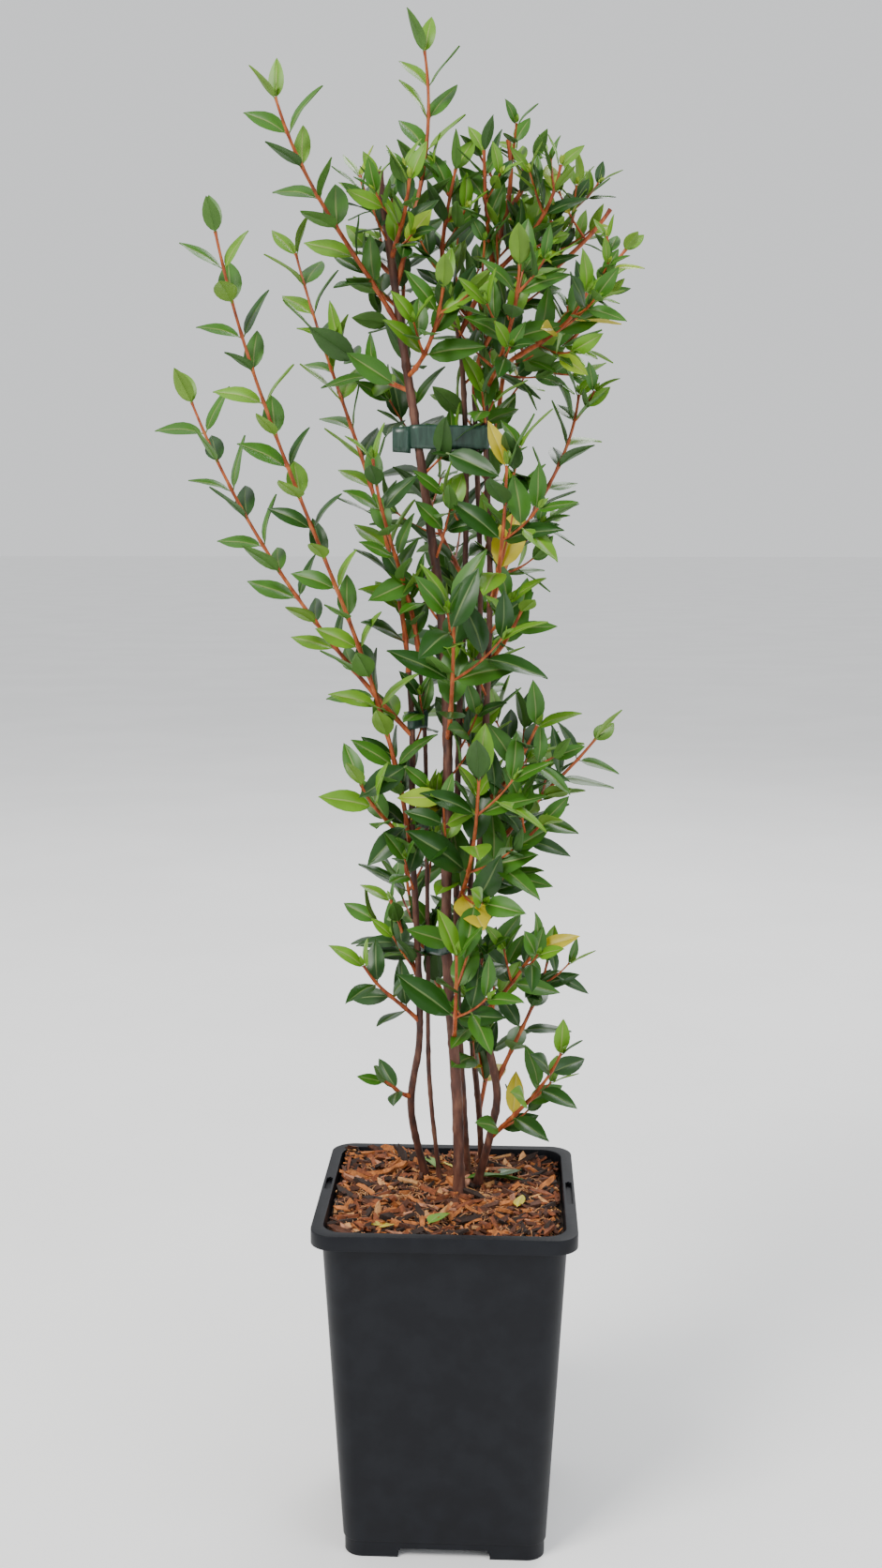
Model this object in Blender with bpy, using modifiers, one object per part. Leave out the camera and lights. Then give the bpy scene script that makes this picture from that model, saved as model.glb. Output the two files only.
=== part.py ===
"""Chilean guava, a small evergreen shrub, in a square nursery pot.

Several woody stems rise from the potting mix, are gathered by three flat ties and carry leafy
shoots: long arching ones on the left, a dense pruned head at the upper right, and a narrow
column of larger leaves between them. Every shoot is one solid: a tapering stem, a few side
twigs and pairs of opposite leaves, each pair turned a quarter from the pair before it.

Millimetres in the tables below are turned into metres by MM. The tables' points are measured
from the middle of the pot's underside, with x to the right, y to the back and z up.
"""
import math
import random

import bmesh
import bpy
from mathutils import Matrix, Vector
from mathutils.bvhtree import BVHTree
from mathutils.geometry import convex_hull_2d
from mathutils.noise import noise

MM = 0.001
OBJECT_NAME = "potted_chilean_guava"
POT_PLACE = Vector((27 * MM, -14 * MM, 0.0))  # puts the middle of the whole plant over the origin
PLANT_TURN = Matrix.Rotation(math.radians(2.84), 3, "Z")  # how far the plant is turned in its pot
GAP = 0.3 * MM                                # clearance between solids that touch

# Pot
RIM_WIDTH = 150 * MM
POT_HEIGHT = 201 * MM
CORNER = 13.7 * MM                            # corner radius of the rim, seen from above
CORNER_STEPS = 3
RIM_BAND = 8.5 * MM                           # height of the rim's outer band
SHEET = 1.2 * MM                              # thickness of the plastic
WALL_TOP = 139 * MM                           # width of the wall just under the rim
WALL_FOOT = 118 * MM                          # width of the wall above the foot band
FOOT_BAND = 10 * MM
FOOT_INSET = 0.9 * MM
FOOT_HEIGHT = 5.5 * MM
FOOT_GAP = 53 * MM                            # clear width between two feet
FLOOR = 7 * MM                                # height of the inner floor
SLOT_WIDTH = 3.7 * MM
SLOT_CUT = 6 * MM                             # height of the slots' cutters
SLOTS = {"left": (-1, 20 * MM, 5.5 * MM),     # slots through the flat of the rim: side, length
         "right": (1, 36 * MM, -3.5 * MM)}    # and the place of the middle along the side
DRAIN_HOLE = 9 * MM
DRAIN_OUT = 42 * MM

# Potting mix
SOIL_TOP = 192 * MM
SOIL_LUMPS = 2.2 * MM
SOIL_CELLS = 11
BARE_ROUND_STEMS = 34 * MM                    # the lumps fade out this near the stems
STEMS_MIDDLE = Vector((5 * MM, 22 * MM))
GROUND = SOIL_TOP + GAP                       # the stems' flat cut

# Stems: radius at the foot and at the tip in mm, and the stations they pass through in mm
STEMS = {
    "main_stem": (3.3, 2.2, ((7, 5, 192), (5, 0, 262), (-1, -5, 343), (-1, -5, 480),
                             (-5, -2, 544), (-18, 0, 639), (-27, 0, 697), (-34, 0, 748),
                             (-39, 0, 781))),
    "left_stem": (2.3, 1.6, ((-12, 30, 192), (-22, 20, 245), (-17, 12, 288), (-18, 8, 346),
                             (-21, 5, 408), (-21, 3, 479), (-23, 1, 508))),
    "slim_stem": (1.4, 1.2, ((-4, 22, 192), (-11, 14, 264), (-12, 13, 345), (-14, 11, 478),
                             (-17, 6, 515))),
    "middle_stem": (2.1, 1.4, ((13, 31, 192), (9, 18, 255), (5, 10, 340), (6, 8, 478),
                               (9, 6, 559), (9, 6, 640), (5, 4, 694), (-1, 2, 714))),
    "back_stem": (1.9, 1.4, ((22, 50, 192), (19, 34, 240), (13, 20, 304), (12, 17, 344),
                             (17, 16, 478), (18, 16, 559), (15, 14, 640), (14, 12, 663))),
    "right_stem": (2.5, 1.5, ((17, 20, 192), (26, 8, 235), (29, 5, 258), (21, 1, 302),
                              (17, 0, 348), (21, 0, 474), (23, 0, 559), (20, 0, 639),
                              (20, 0, 660))),
}
ROOT_FLARE = 0.45                             # extra radius at the ground, as a share
FLARE_HEIGHT = 9 * MM
LIMB_STEP = 32 * MM                           # spacing of a limb's rings
STRAIGHT_FOOT = 2 * MM                        # first run of a limb, square to where it starts

# Ties: flat bands round some of the stems
TIE_THICK = 0.8 * MM
TIES = {
    # name: height of the middle, height of the band, rise to the right (mm per mm), stems
    "lower_tie": (351, 12, 0.30, ("main_stem", "slim_stem", "middle_stem")),
    "middle_tie": (480, 10, 0.0, ("left_stem", "slim_stem")),
    "upper_tie": (639, 13, 0.0, ("main_stem", "middle_stem", "back_stem", "right_stem")),
}
KNOT = Vector((9 * MM, 5 * MM, 14 * MM))      # folded tail at the left end of the upper tie

TIP = None                                    # a limb or shoot that carries on its parent's tip

# Boughs and shoots. Both follow one arc from their parent to a tip: `leave` and `arrive` are the
# angles above the horizontal at its two ends, in degrees.
# Boughs: parent, height on it, tip in mm, leave, arrive, radius at the foot and the tip in mm
BOUGHS = {
    "upright_bough": ("middle_stem", 694, (32, 10, 800), 64, 100, 1.5, 1.2),
    "middle_bough": ("back_stem", TIP, (90, 22, 765), 52, 56, 1.4, 1.1),
    "low_bough": ("right_stem", TIP, (57, -8, 697), 44, 47, 1.4, 1.1),
    "back_bough": ("back_stem", 585, (38, 66, 722), 62, 70, 1.5, 1.1),
}

# Shoots: parent, height on it in mm, tip in mm, leave, arrive, leaf length in mm,
# spacing of the leaf pairs in mm, number of side twigs
SHOOTS = {
    # long arching shoots on the left
    "left_shoot_1": ("left_stem", 471, (-152, 28, 664), 46, 68, 21, 18, 0),
    "left_shoot_2": ("left_stem", 380, (-125, -50, 746), 86, 78, 20, 18, 0),
    "left_shoot_3": ("left_stem", TIP, (-88, 48, 745), 64, 72, 22, 18, 0),
    "left_shoot_4": ("slim_stem", TIP, (-42, -30, 626), 84, 80, 19, 15, 0),
    "left_shoot_5": ("main_stem", 697, (-94, -36, 821), 56, 72, 21, 18, 0),
    "left_shoot_6": ("main_stem", 727, (-47, 14, 744), 20, 30, 17, 10, 0),
    "left_shoot_7": ("main_stem", 664, (-62, 20, 692), 20, 48, 23, 15, 0),
    "left_shoot_8": ("left_shoot_2", 404, (-50, -16, 446), 56, 64, 24, 17, 0),
    "left_shoot_9": ("left_stem", 326, (-34, 22, 371), 60, 60, 21, 14, 0),
    "left_shoot_10": ("left_stem", 300, (-49, -6, 338), 48, 60, 22, 14, 0),
    "left_shoot_11": ("left_stem", 252, (-38, 4, 266), 10, 30, 19, 12, 0),
    # the tallest shoots, in the middle
    "top_shoot_1": ("main_stem", 718, (-14, 8, 852), 74, 100, 21, 17, 0),
    "top_shoot_2": ("middle_stem", TIP, (3, -4, 782), 96, 70, 27, 16, 1),
    "top_shoot_3": ("main_stem", 748, (-50, 26, 784), 50, 70, 22, 13, 0),
    "top_shoot_4": ("main_stem", 735, (-22, -30, 772), 40, 75, 25, 14, 1),
    "top_shoot_5": ("main_stem", 690, (-26, 46, 762), 35, 78, 26, 17, 1),
    "top_shoot_6": ("main_stem", 672, (-4, -34, 716), 20, 75, 27, 16, 0),
    # the dense head at the upper right
    "head_shoot_1": ("upright_bough", 735, (18, -12, 790), 50, 84, 22, 13, 0),
    "head_shoot_2": ("upright_bough", 722, (60, -4, 784), 40, 82, 24, 15, 0),
    "head_shoot_3": ("upright_bough", 762, (48, 22, 792), 40, 60, 21, 12, 0),
    "head_shoot_4": ("middle_bough", 690, (56, 4, 756), 60, 74, 24, 15, 0),
    "head_shoot_5": ("middle_bough", 728, (74, 40, 782), 40, 76, 23, 15, 1),
    "head_shoot_6": ("low_bough", TIP, (99, -16, 741), 44, 50, 23, 13, 0),
    "head_shoot_7": ("low_bough", 682, (72, -40, 712), 20, 55, 27, 17, 1),
    "head_shoot_8": ("low_bough", 668, (36, -46, 726), 30, 80, 27, 17, 1),
    "head_shoot_9": ("back_bough", TIP, (52, 74, 780), 70, 80, 26, 16, 1),
    "head_shoot_10": ("back_bough", 680, (2, 78, 750), 40, 80, 27, 17, 1),
    "head_shoot_11": ("middle_bough", 676, (78, 52, 704), 10, 50, 27, 17, 1),
    # side shoots on the right
    "right_shoot_1": ("right_stem", 541, (74, 26, 664), 76, 84, 22, 15, 0),
    "right_shoot_2": ("right_stem", 513, (40, -18, 544), 40, 60, 22, 12, 0),
    "right_shoot_3": ("right_stem", 432, (49, -22, 480), 32, 62, 25, 14, 0),
    "right_shoot_4": ("right_stem", 389, (86, 22, 467), 62, 48, 25, 16, 0),
    "right_shoot_5": ("right_stem", 372, (52, -26, 425), 48, 40, 24, 14, 0),
    "right_shoot_6": ("right_stem", 308, (50, -24, 353), 40, 52, 24, 14, 0),
    "right_shoot_7": ("right_stem", 264, (59, 18, 335), 66, 76, 23, 14, 0),
    "right_shoot_8": ("right_stem", 228, (65, -14, 288), 48, 66, 22, 13, 1),
    # the leafy column round the stems
    "column_shoot_1": ("back_stem", 236, (30, 62, 330), 50, 84, 32, 22, 1),
    "column_shoot_2": ("middle_stem", 300, (-26, 50, 392), 40, 84, 33, 22, 1),
    "column_shoot_3": ("back_stem", 372, (46, 50, 470), 40, 84, 34, 22, 1),
    "column_shoot_4": ("back_stem", 452, (2, 62, 556), 40, 84, 34, 22, 1),
    "column_shoot_5": ("middle_stem", 560, (-20, 50, 660), 40, 84, 32, 22, 1),
    "column_shoot_6": ("main_stem", 290, (4, -38, 352), 30, 84, 33, 22, 1),
    "column_shoot_7": ("middle_stem", 372, (16, -38, 452), 30, 84, 35, 22, 1),
    "column_shoot_8": ("main_stem", 470, (2, -44, 546), 30, 84, 36, 22, 1),
    "column_shoot_9": ("right_stem", 545, (30, -42, 622), 30, 84, 33, 22, 1),
}

SHOOT_FOOT = 1.35 * MM                        # radius of a shoot where it leaves its parent
SHOOT_TIP = 0.85 * MM
SHOOT_STEP = 30 * MM
TWIG_FOOT = 1.0 * MM
TWIG_TIP = 0.8 * MM
TWIG_PAIRS = 2
TWIG_ANGLE = 48                               # degrees between a side twig and its shoot
LEAF_ANGLE = 52                               # degrees between a leaf and its shoot
TIP_LEAF_ANGLE = 24
LEAF_WIDTH = 0.50                             # width of a leaf for its length
LEAF_THICK = 0.9 * MM
LEAF_WIDEST = 0.40                            # place of the widest point along the leaf
LEAF_THICKEST = 0.26
LEAF_FOLD = 0.10                              # rise of the leaf's edges over its midrib
LEAF_DROOP = 0.10                             # fall of the leaf's tip
LEAF_ROOT_FREE = 0.25                         # share of a leaf that may touch its own shoot
LEAF_TRIES = (0, 25, -25, 50, -50)            # turns about the shoot, in degrees, tried in order
RANDOM_SEED = 11


# Scene and materials

def clear_scene():
    for thing in list(bpy.data.objects):
        bpy.data.objects.remove(thing, do_unlink=True)


def new_collection(name):
    collection = bpy.data.collections.new(name)
    bpy.context.scene.collection.children.link(collection)
    return collection


def material(name, colour, roughness):
    made = bpy.data.materials.new(name)
    made.use_nodes = True
    shader = made.node_tree.nodes["Principled BSDF"]
    shader.inputs["Base Color"].default_value = (*colour, 1.0)
    shader.inputs["Roughness"].default_value = roughness
    shader.inputs["Metallic"].default_value = 0.0
    made.diffuse_color = (*colour, 1.0)
    return made


def place(mesh, name, finish, collection=None):
    """Put a mesh in the model as a named object under the pot's empty."""
    thing = bpy.data.objects.new(name, mesh)
    mesh.materials.clear()
    mesh.materials.append(finish)
    (collection or parts).objects.link(thing)
    thing.parent = origin
    return thing


def mesh_from(bm, name):
    bmesh.ops.recalc_face_normals(bm, faces=bm.faces)
    mesh = bpy.data.meshes.new(name)
    bm.to_mesh(mesh)
    bm.free()
    return mesh


def add_cutter(name, mesh, target, operation="DIFFERENCE"):
    cutter = bpy.data.objects.new(name, mesh)
    cutters.objects.link(cutter)
    cutter.parent = origin
    cutter.hide_render = True
    cutter.display_type = "WIRE"
    cut = target.modifiers.new(name, "BOOLEAN")
    cut.operation = operation
    cut.solver = "EXACT"
    cut.object = cutter
    return cutter


def box_mesh(name, size, centre):
    bm = bmesh.new()
    bmesh.ops.create_cube(bm, size=1.0)
    bmesh.ops.scale(bm, vec=size, verts=bm.verts)
    bmesh.ops.translate(bm, vec=centre, verts=bm.verts)
    return mesh_from(bm, name)


# Pot and potting mix

def rounded_square(bm, half, radius, z):
    """One ring of vertices: a square of half-width `half` with round corners."""
    ring = []
    for quarter in range(4):
        turn = quarter * math.pi / 2
        middle = Matrix.Rotation(turn, 2) @ Vector((half - radius, half - radius))
        for step in range(CORNER_STEPS + 1):
            angle = turn + step / CORNER_STEPS * math.pi / 2
            x = middle.x + radius * math.cos(angle)
            y = middle.y + radius * math.sin(angle)
            ring.append(bm.verts.new((x, y, z)))
    return ring


def loft(bm, rings):
    """Join rings of equal count into one closed skin with flat ends."""
    for low, high in zip(rings, rings[1:]):
        count = len(low)
        for index in range(count):
            after = (index + 1) % count
            bm.faces.new((low[index], low[after], high[after], high[index]))
    bm.faces.new(rings[0])
    bm.faces.new(rings[-1])


def wall_half(z):
    """Half-width of the wall's outer face at height z."""
    share = (z - FOOT_BAND) / (POT_HEIGHT - SHEET - FOOT_BAND)
    return (WALL_FOOT + (WALL_TOP - WALL_FOOT) * share) / 2


def pot_profile():
    """Half-width and height of each ring, from the foot up the outside and down the inside."""
    rim = RIM_WIDTH / 2
    foot = WALL_FOOT / 2 - FOOT_INSET
    under_flat = POT_HEIGHT - SHEET
    band_foot = POT_HEIGHT - RIM_BAND
    return (
        (foot - SHEET / 2, 0.0),
        (foot, SHEET / 2),
        (foot, FOOT_BAND - FOOT_INSET / 2),
        (wall_half(FOOT_BAND), FOOT_BAND),
        (wall_half(under_flat), under_flat),
        (rim - SHEET, under_flat),
        (rim - SHEET, band_foot),
        (rim, band_foot),
        (rim, POT_HEIGHT - SHEET),
        (rim - SHEET / 2, POT_HEIGHT - SHEET / 4),
        (rim - SHEET, POT_HEIGHT),
        (wall_half(under_flat) - SHEET, POT_HEIGHT),
        (wall_half(FLOOR) - SHEET, FLOOR),
    )


def build_pot(finish):
    bm = bmesh.new()
    edge = RIM_WIDTH / 2 - CORNER
    loft(bm, [rounded_square(bm, half, half - edge * half / (RIM_WIDTH / 2), z)
              for half, z in pot_profile()])
    pot = place(mesh_from(bm, "pot"), "pot", finish)

    across = RIM_WIDTH * 1.2
    notch = Vector((FOOT_GAP, across, FOOT_HEIGHT * 2))
    add_cutter("foot_gap_front_to_back", box_mesh("gap", notch, Vector()), pot)
    notch = Vector((across, FOOT_GAP, FOOT_HEIGHT * 2))
    add_cutter("foot_gap_side_to_side", box_mesh("gap", notch, Vector()), pot)

    slot_x = (RIM_WIDTH / 2 - SHEET + WALL_TOP / 2) / 2
    for side, (sign, length, middle) in SLOTS.items():
        centre = Vector((sign * slot_x, middle, POT_HEIGHT))
        size = Vector((SLOT_WIDTH, length, SLOT_CUT))
        add_cutter(f"rim_slot_{side}", box_mesh("slot", size, centre), pot)

    for number, (x, y) in enumerate(((0, 0), (1, 0), (-1, 0), (0, 1), (0, -1))):
        bm = bmesh.new()
        bmesh.ops.create_cone(bm, cap_ends=True, segments=12, radius1=DRAIN_HOLE / 2,
                              radius2=DRAIN_HOLE / 2, depth=FLOOR * 4,
                              matrix=Matrix.Translation((x * DRAIN_OUT, y * DRAIN_OUT, 0)))
        add_cutter(f"drain_hole_{number}", mesh_from(bm, "drain"), pot)
    return pot


def build_potting_mix(finish):
    """A block that fills the pot, with a lumpy top that is level near the stems."""
    bottom = FLOOR + GAP
    bm = bmesh.new()
    bmesh.ops.create_grid(bm, x_segments=SOIL_CELLS, y_segments=SOIL_CELLS, size=1.0)
    top = list(bm.verts)
    below = bmesh.ops.extrude_face_region(bm, geom=list(bm.faces))
    low = [item for item in below["geom"] if isinstance(item, bmesh.types.BMVert)]
    floor_faces = [item for item in below["geom"] if isinstance(item, bmesh.types.BMFace)]
    for verts, z in ((top, SOIL_TOP), (low, bottom)):
        half = wall_half(z) - SHEET - GAP
        corner = half * CORNER / (RIM_WIDTH / 2) * 1.2
        flat = half - corner
        for vert in verts:
            place_xy = Vector((vert.co.x, vert.co.y)) * half
            over = Vector((max(abs(place_xy.x) - flat, 0.0), max(abs(place_xy.y) - flat, 0.0)))
            if over.length > 0 and min(over) > 0:
                over = over.normalized() * max(over)
                place_xy.x = math.copysign(flat + over.x, place_xy.x)
                place_xy.y = math.copysign(flat + over.y, place_xy.y)
            away = (place_xy - STEMS_MIDDLE).length / BARE_ROUND_STEMS
            lump = SOIL_LUMPS * noise(Vector((*place_xy, 0)) * 90) * min(1.0, max(0.0, away - 1))
            near_wall = max(abs(vert.co.x), abs(vert.co.y)) > 0.99
            height = z if (near_wall or z == bottom) else z + lump
            vert.co = (place_xy.x, place_xy.y, height)
    bmesh.ops.dissolve_faces(bm, faces=floor_faces)
    return place(mesh_from(bm, "potting_mix"), "potting_mix", finish)


# Curves and limbs

def plant_point(point):
    """A point of the tables, in metres and turned as the plant is in its pot."""
    return PLANT_TURN @ Vector(point) * MM


def smooth_path(stations, step):
    """Points on a smooth curve through the stations, about `step` apart."""
    points = [plant_point(station) for station in stations]
    points = [2 * points[0] - points[1], *points, 2 * points[-1] - points[-2]]
    path = []
    for before, start, end, after in zip(points, points[1:], points[2:], points[3:]):
        count = max(1, round((end - start).length / step))
        knots = [0.0]
        for one, two in ((before, start), (start, end), (end, after)):
            knots.append(knots[-1] + math.sqrt((two - one).length))
        for index in range(count):
            t = knots[1] + (knots[2] - knots[1]) * index / count
            a = before.lerp(start, (t - knots[0]) / (knots[1] - knots[0]))
            b = start.lerp(end, (t - knots[1]) / (knots[2] - knots[1]))
            c = end.lerp(after, (t - knots[2]) / (knots[3] - knots[2]))
            near = a.lerp(b, (t - knots[0]) / (knots[2] - knots[0]))
            far = b.lerp(c, (t - knots[1]) / (knots[3] - knots[1]))
            path.append(near.lerp(far, (t - knots[1]) / (knots[2] - knots[1])))
    path.append(points[-2])
    return path


def arc_path(start, tip, first, leave, arrive, step):
    """Points on one arc. `first` is its first direction, or None to use the angle `leave`."""
    chord = tip - start
    level = Vector((chord.x, chord.y, 0.0)).normalized()
    reach = 0.36 * chord.length
    away = first or rise(level, leave)
    near = start + away * reach
    far = tip - rise(level, arrive) * reach
    count = max(3, round(chord.length / step))
    path = [start]
    for share in (STRAIGHT_FOOT / chord.length, *(index / count for index in range(1, count + 1))):
        rest = 1 - share
        path.append(start * rest ** 3 + near * 3 * rest * rest * share
                    + far * 3 * rest * share * share + tip * share ** 3)
    return path


def rise(level, degrees):
    angle = math.radians(degrees)
    return level * math.cos(angle) + Vector((0, 0, math.sin(angle)))


def along_path(path, distance):
    """Point and direction at a distance along a path."""
    for start, end in zip(path, path[1:]):
        length = (end - start).length
        if distance <= length:
            return start.lerp(end, distance / length), (end - start).normalized()
        distance -= length
    return path[-1].copy(), (path[-1] - path[-2]).normalized()


def path_length(path):
    return sum((end - start).length for start, end in zip(path, path[1:]))


def at_height(path, z):
    """Point, direction and share of the way at height z on a path that only rises."""
    walked = 0.0
    for start, end in zip(path, path[1:]):
        if start.z <= z <= end.z:
            share = (z - start.z) / (end.z - start.z)
            walked += share * (end - start).length
            return start.lerp(end, share), (end - start).normalized(), walked / path_length(path)
        walked += (end - start).length
    raise ValueError(f"no point at height {z}")


def tube(name, path, radii, bevel):
    """A closed tube along a path, made from a curve whose caps are then welded."""
    curve = bpy.data.curves.new(name, "CURVE")
    curve.dimensions = "3D"
    curve.use_fill_caps = True
    if bevel is None:
        curve.bevel_depth = 1.0
        curve.bevel_resolution = 1
    else:
        curve.bevel_mode = "OBJECT"
        curve.bevel_object = bevel
    spline = curve.splines.new("POLY")
    spline.points.add(len(path) - 1)
    for point, where, radius in zip(spline.points, path, radii):
        point.co = (*where, 1.0)
        point.radius = radius
    guide = bpy.data.objects.new(name, curve)
    parts.objects.link(guide)
    bpy.context.view_layer.update()
    evaluated = guide.evaluated_get(bpy.context.evaluated_depsgraph_get())
    mesh = bpy.data.meshes.new_from_object(evaluated)
    bpy.data.objects.remove(guide, do_unlink=True)
    bpy.data.curves.remove(curve)
    bm = bmesh.new()
    bm.from_mesh(mesh)
    bmesh.ops.remove_doubles(bm, verts=bm.verts, dist=0.001 * MM)
    bpy.data.meshes.remove(mesh)
    return bm


def taper(path, foot, tip):
    """Radii that shrink evenly from foot to tip."""
    whole = path_length(path)
    walked = 0.0
    radii = [foot]
    for start, end in zip(path, path[1:]):
        walked += (end - start).length
        radii.append(foot + (tip - foot) * walked / whole)
    return radii


def three_sided_bevel():
    """The cross-section of a shoot: a triangle of radius 1."""
    curve = bpy.data.curves.new("three_sides", "CURVE")
    curve.dimensions = "2D"
    spline = curve.splines.new("POLY")
    spline.points.add(2)
    for index, point in enumerate(spline.points):
        angle = math.radians(90 + 120 * index)
        point.co = (math.cos(angle), math.sin(angle), 0.0, 1.0)
    spline.use_cyclic_u = True
    shape = bpy.data.objects.new("three_sides", curve)
    cutters.objects.link(shape)
    shape.hide_render = True
    return shape


class Limb:
    """What a later piece needs to know of a limb or shoot that it grows from."""

    def __init__(self, path, foot, tip, tree):
        self.path = path
        self.foot = foot
        self.tip = tip
        self.tree = tree

    def radius(self, share):
        return self.foot + (self.tip - self.foot) * share


def tree_of(bm):
    """A search tree in millimetres, because the overlap test is too coarse for tiny triangles."""
    bm.verts.index_update()
    return BVHTree.FromPolygons([vert.co / MM for vert in bm.verts],
                                [[vert.index for vert in face.verts] for face in bm.faces])


def build_stem(name, row, finish):
    foot, tip, stations = row
    foot *= MM
    tip *= MM
    path = smooth_path(stations, LIMB_STEP)
    below = path[0] - (path[1] - path[0]).normalized() * 6 * MM
    flare = path[0].lerp(path[1], 0.4)
    path = [below, path[0], flare, *path[1:]]
    radii = taper(path, foot, tip)
    for index in range(3):
        fade = math.exp(-max(0.0, path[index].z - SOIL_TOP) / FLARE_HEIGHT)
        radii[index] *= 1 + ROOT_FLARE * fade
    bm = tube(name, path, radii, None)
    level_cut(bm, GROUND)
    limb = Limb(path, foot, tip, tree_of(bm))
    place(mesh_from(bm, name), name, finish)
    return limb


def level_cut(bm, z):
    """Cut everything off below height z and close the cut."""
    geometry = [*bm.verts, *bm.edges, *bm.faces]
    bmesh.ops.bisect_plane(bm, geom=geometry, plane_co=(0, 0, z), plane_no=(0, 0, 1),
                           clear_inner=True, dist=0.0001 * MM)
    rim = [edge for edge in bm.edges if edge.is_boundary]
    bmesh.ops.contextual_create(bm, geom=rim)


def start_on(parent, height, tip, foot, leave):
    """Start point and first direction of a limb on its parent, clear of it by GAP."""
    if height is TIP:
        away = (parent.path[-1] - parent.path[-2]).normalized()
        return parent.path[-1] + away * GAP, away
    middle, _, share = at_height(parent.path, height * MM)
    level = (tip - middle).to_2d().to_3d().normalized()
    away = rise(level, leave)
    start = middle + level * (parent.radius(share) + GAP + foot * math.sin(math.radians(leave)))
    across = away.orthogonal().normalized() * foot
    rim = [Matrix.Rotation(step * math.pi / 6, 3, away) @ across for step in range(12)]
    for _ in range(5):
        nearest = min(parent.tree.find_nearest((start + point) / MM)[3] for point in rim)
        start = start - level * (nearest * MM - GAP)
    return start, None


def build_bough(name, row, finish):
    parent, height, tip, leave, arrive, foot, end = row
    foot *= MM
    end *= MM
    tip = plant_point(tip)
    start, first = start_on(limbs[parent], height, tip, foot, leave)
    path = arc_path(start, tip, first, leave, arrive, LIMB_STEP)
    bm = tube(name, path, taper(path, foot, end), None)
    limb = Limb(path, foot, end, tree_of(bm))
    place(mesh_from(bm, name), name, finish)
    return limb


# Ties

def build_tie(name, row, finish):
    """A band pulled tight round its stems: the hull of their outlines, with a clearance."""
    middle, band, slope, stems = row
    middle *= MM
    band *= MM
    outline = []
    for stem in stems:
        limb = limbs[stem]
        for part in (-0.7, 0.0, 0.7):
            where, _, share = at_height(limb.path, middle + part * band)
            for step in range(8):
                turn = (step + 0.5) * math.pi / 4
                reach = (limb.radius(share) + GAP) / math.cos(math.pi / 8)
                outline.append(Vector((where.x + reach * math.cos(turn),
                                       where.y + reach * math.sin(turn))))
    hull = [outline[index] for index in convex_hull_2d(outline)]
    across = (min(p.x for p in hull) + max(p.x for p in hull)) / 2
    bm = bmesh.new()
    low = [bm.verts.new((p.x, p.y, middle - band / 2 + slope * (p.x - across))) for p in hull]
    count = len(low)
    edges = [bm.edges.new((low[i], low[(i + 1) % count])) for i in range(count)]
    wall = bmesh.ops.extrude_edge_only(bm, edges=edges)
    top = [item for item in wall["geom"] if isinstance(item, bmesh.types.BMVert)]
    bmesh.ops.translate(bm, vec=(0, 0, band), verts=top)
    bmesh.ops.remove_doubles(bm, verts=bm.verts, dist=0.1 * MM)
    tie = place(mesh_from(bm, name), name, finish)
    skin = tie.modifiers.new("thickness", "SOLIDIFY")
    skin.thickness = TIE_THICK
    skin.offset = 1.0
    if name == "upper_tie":
        left = min(hull, key=lambda p: p.x)
        centre = Vector((left.x - KNOT.x / 2 + TIE_THICK / 4, left.y, middle))
        add_cutter("tie_tail", box_mesh("tail", KNOT, centre), tie, "UNION")
    bpy.context.view_layer.update()
    evaluated = tie.evaluated_get(bpy.context.evaluated_depsgraph_get())
    solid = bmesh.new()
    solid.from_mesh(bpy.data.meshes.new_from_object(evaluated))
    tree = tree_of(solid)
    solid.free()
    occupied.append((name, tree, tree))


# Leaves, twigs and shoots

def leaf_shape(length, thicken):
    """An eight-faced sphere drawn out into a leaf along +X, its upper face to +Z."""
    bm = bmesh.new()
    bmesh.ops.create_uvsphere(bm, u_segments=4, v_segments=2, radius=1.0)
    width = LEAF_WIDTH * length + thicken
    thick = LEAF_THICK + thicken
    fold = LEAF_FOLD * length
    for vert in bm.verts:
        x, y, z = vert.co
        if x > 0.9:
            vert.co = (length + thicken / 2, 0.0, -LEAF_DROOP * length)
        elif x < -0.9:
            vert.co = (-thicken / 2, 0.0, 0.0)
        elif abs(y) > 0.9:
            vert.co = (LEAF_WIDEST * length, y * width / 2, fold)
        else:
            vert.co = (LEAF_THICKEST * length, 0.0, z * thick / 2)
    return bm


def leaf_matrix(root, along, out, angle, sink):
    """Frame of a leaf: it leaves the twig at `angle`, with its upper face to the twig's tip."""
    spread = math.radians(angle)
    forward = (along * math.cos(spread) + out * math.sin(spread)).normalized()
    up = (along - forward * along.dot(forward)).normalized()
    side = up.cross(forward)
    turn = Matrix((forward, side, up)).transposed().to_4x4()
    return Matrix.Translation(root - forward * sink) @ turn


def is_free(owner, whole, outer):
    """True where a piece is clear: all of it of other solids, its outer part of its own shoot."""
    for other, other_whole, other_outer in occupied:
        if other == owner:
            if outer.overlap(other_outer):
                return False
        elif whole.overlap(other_whole):
            return False
    return True


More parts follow.
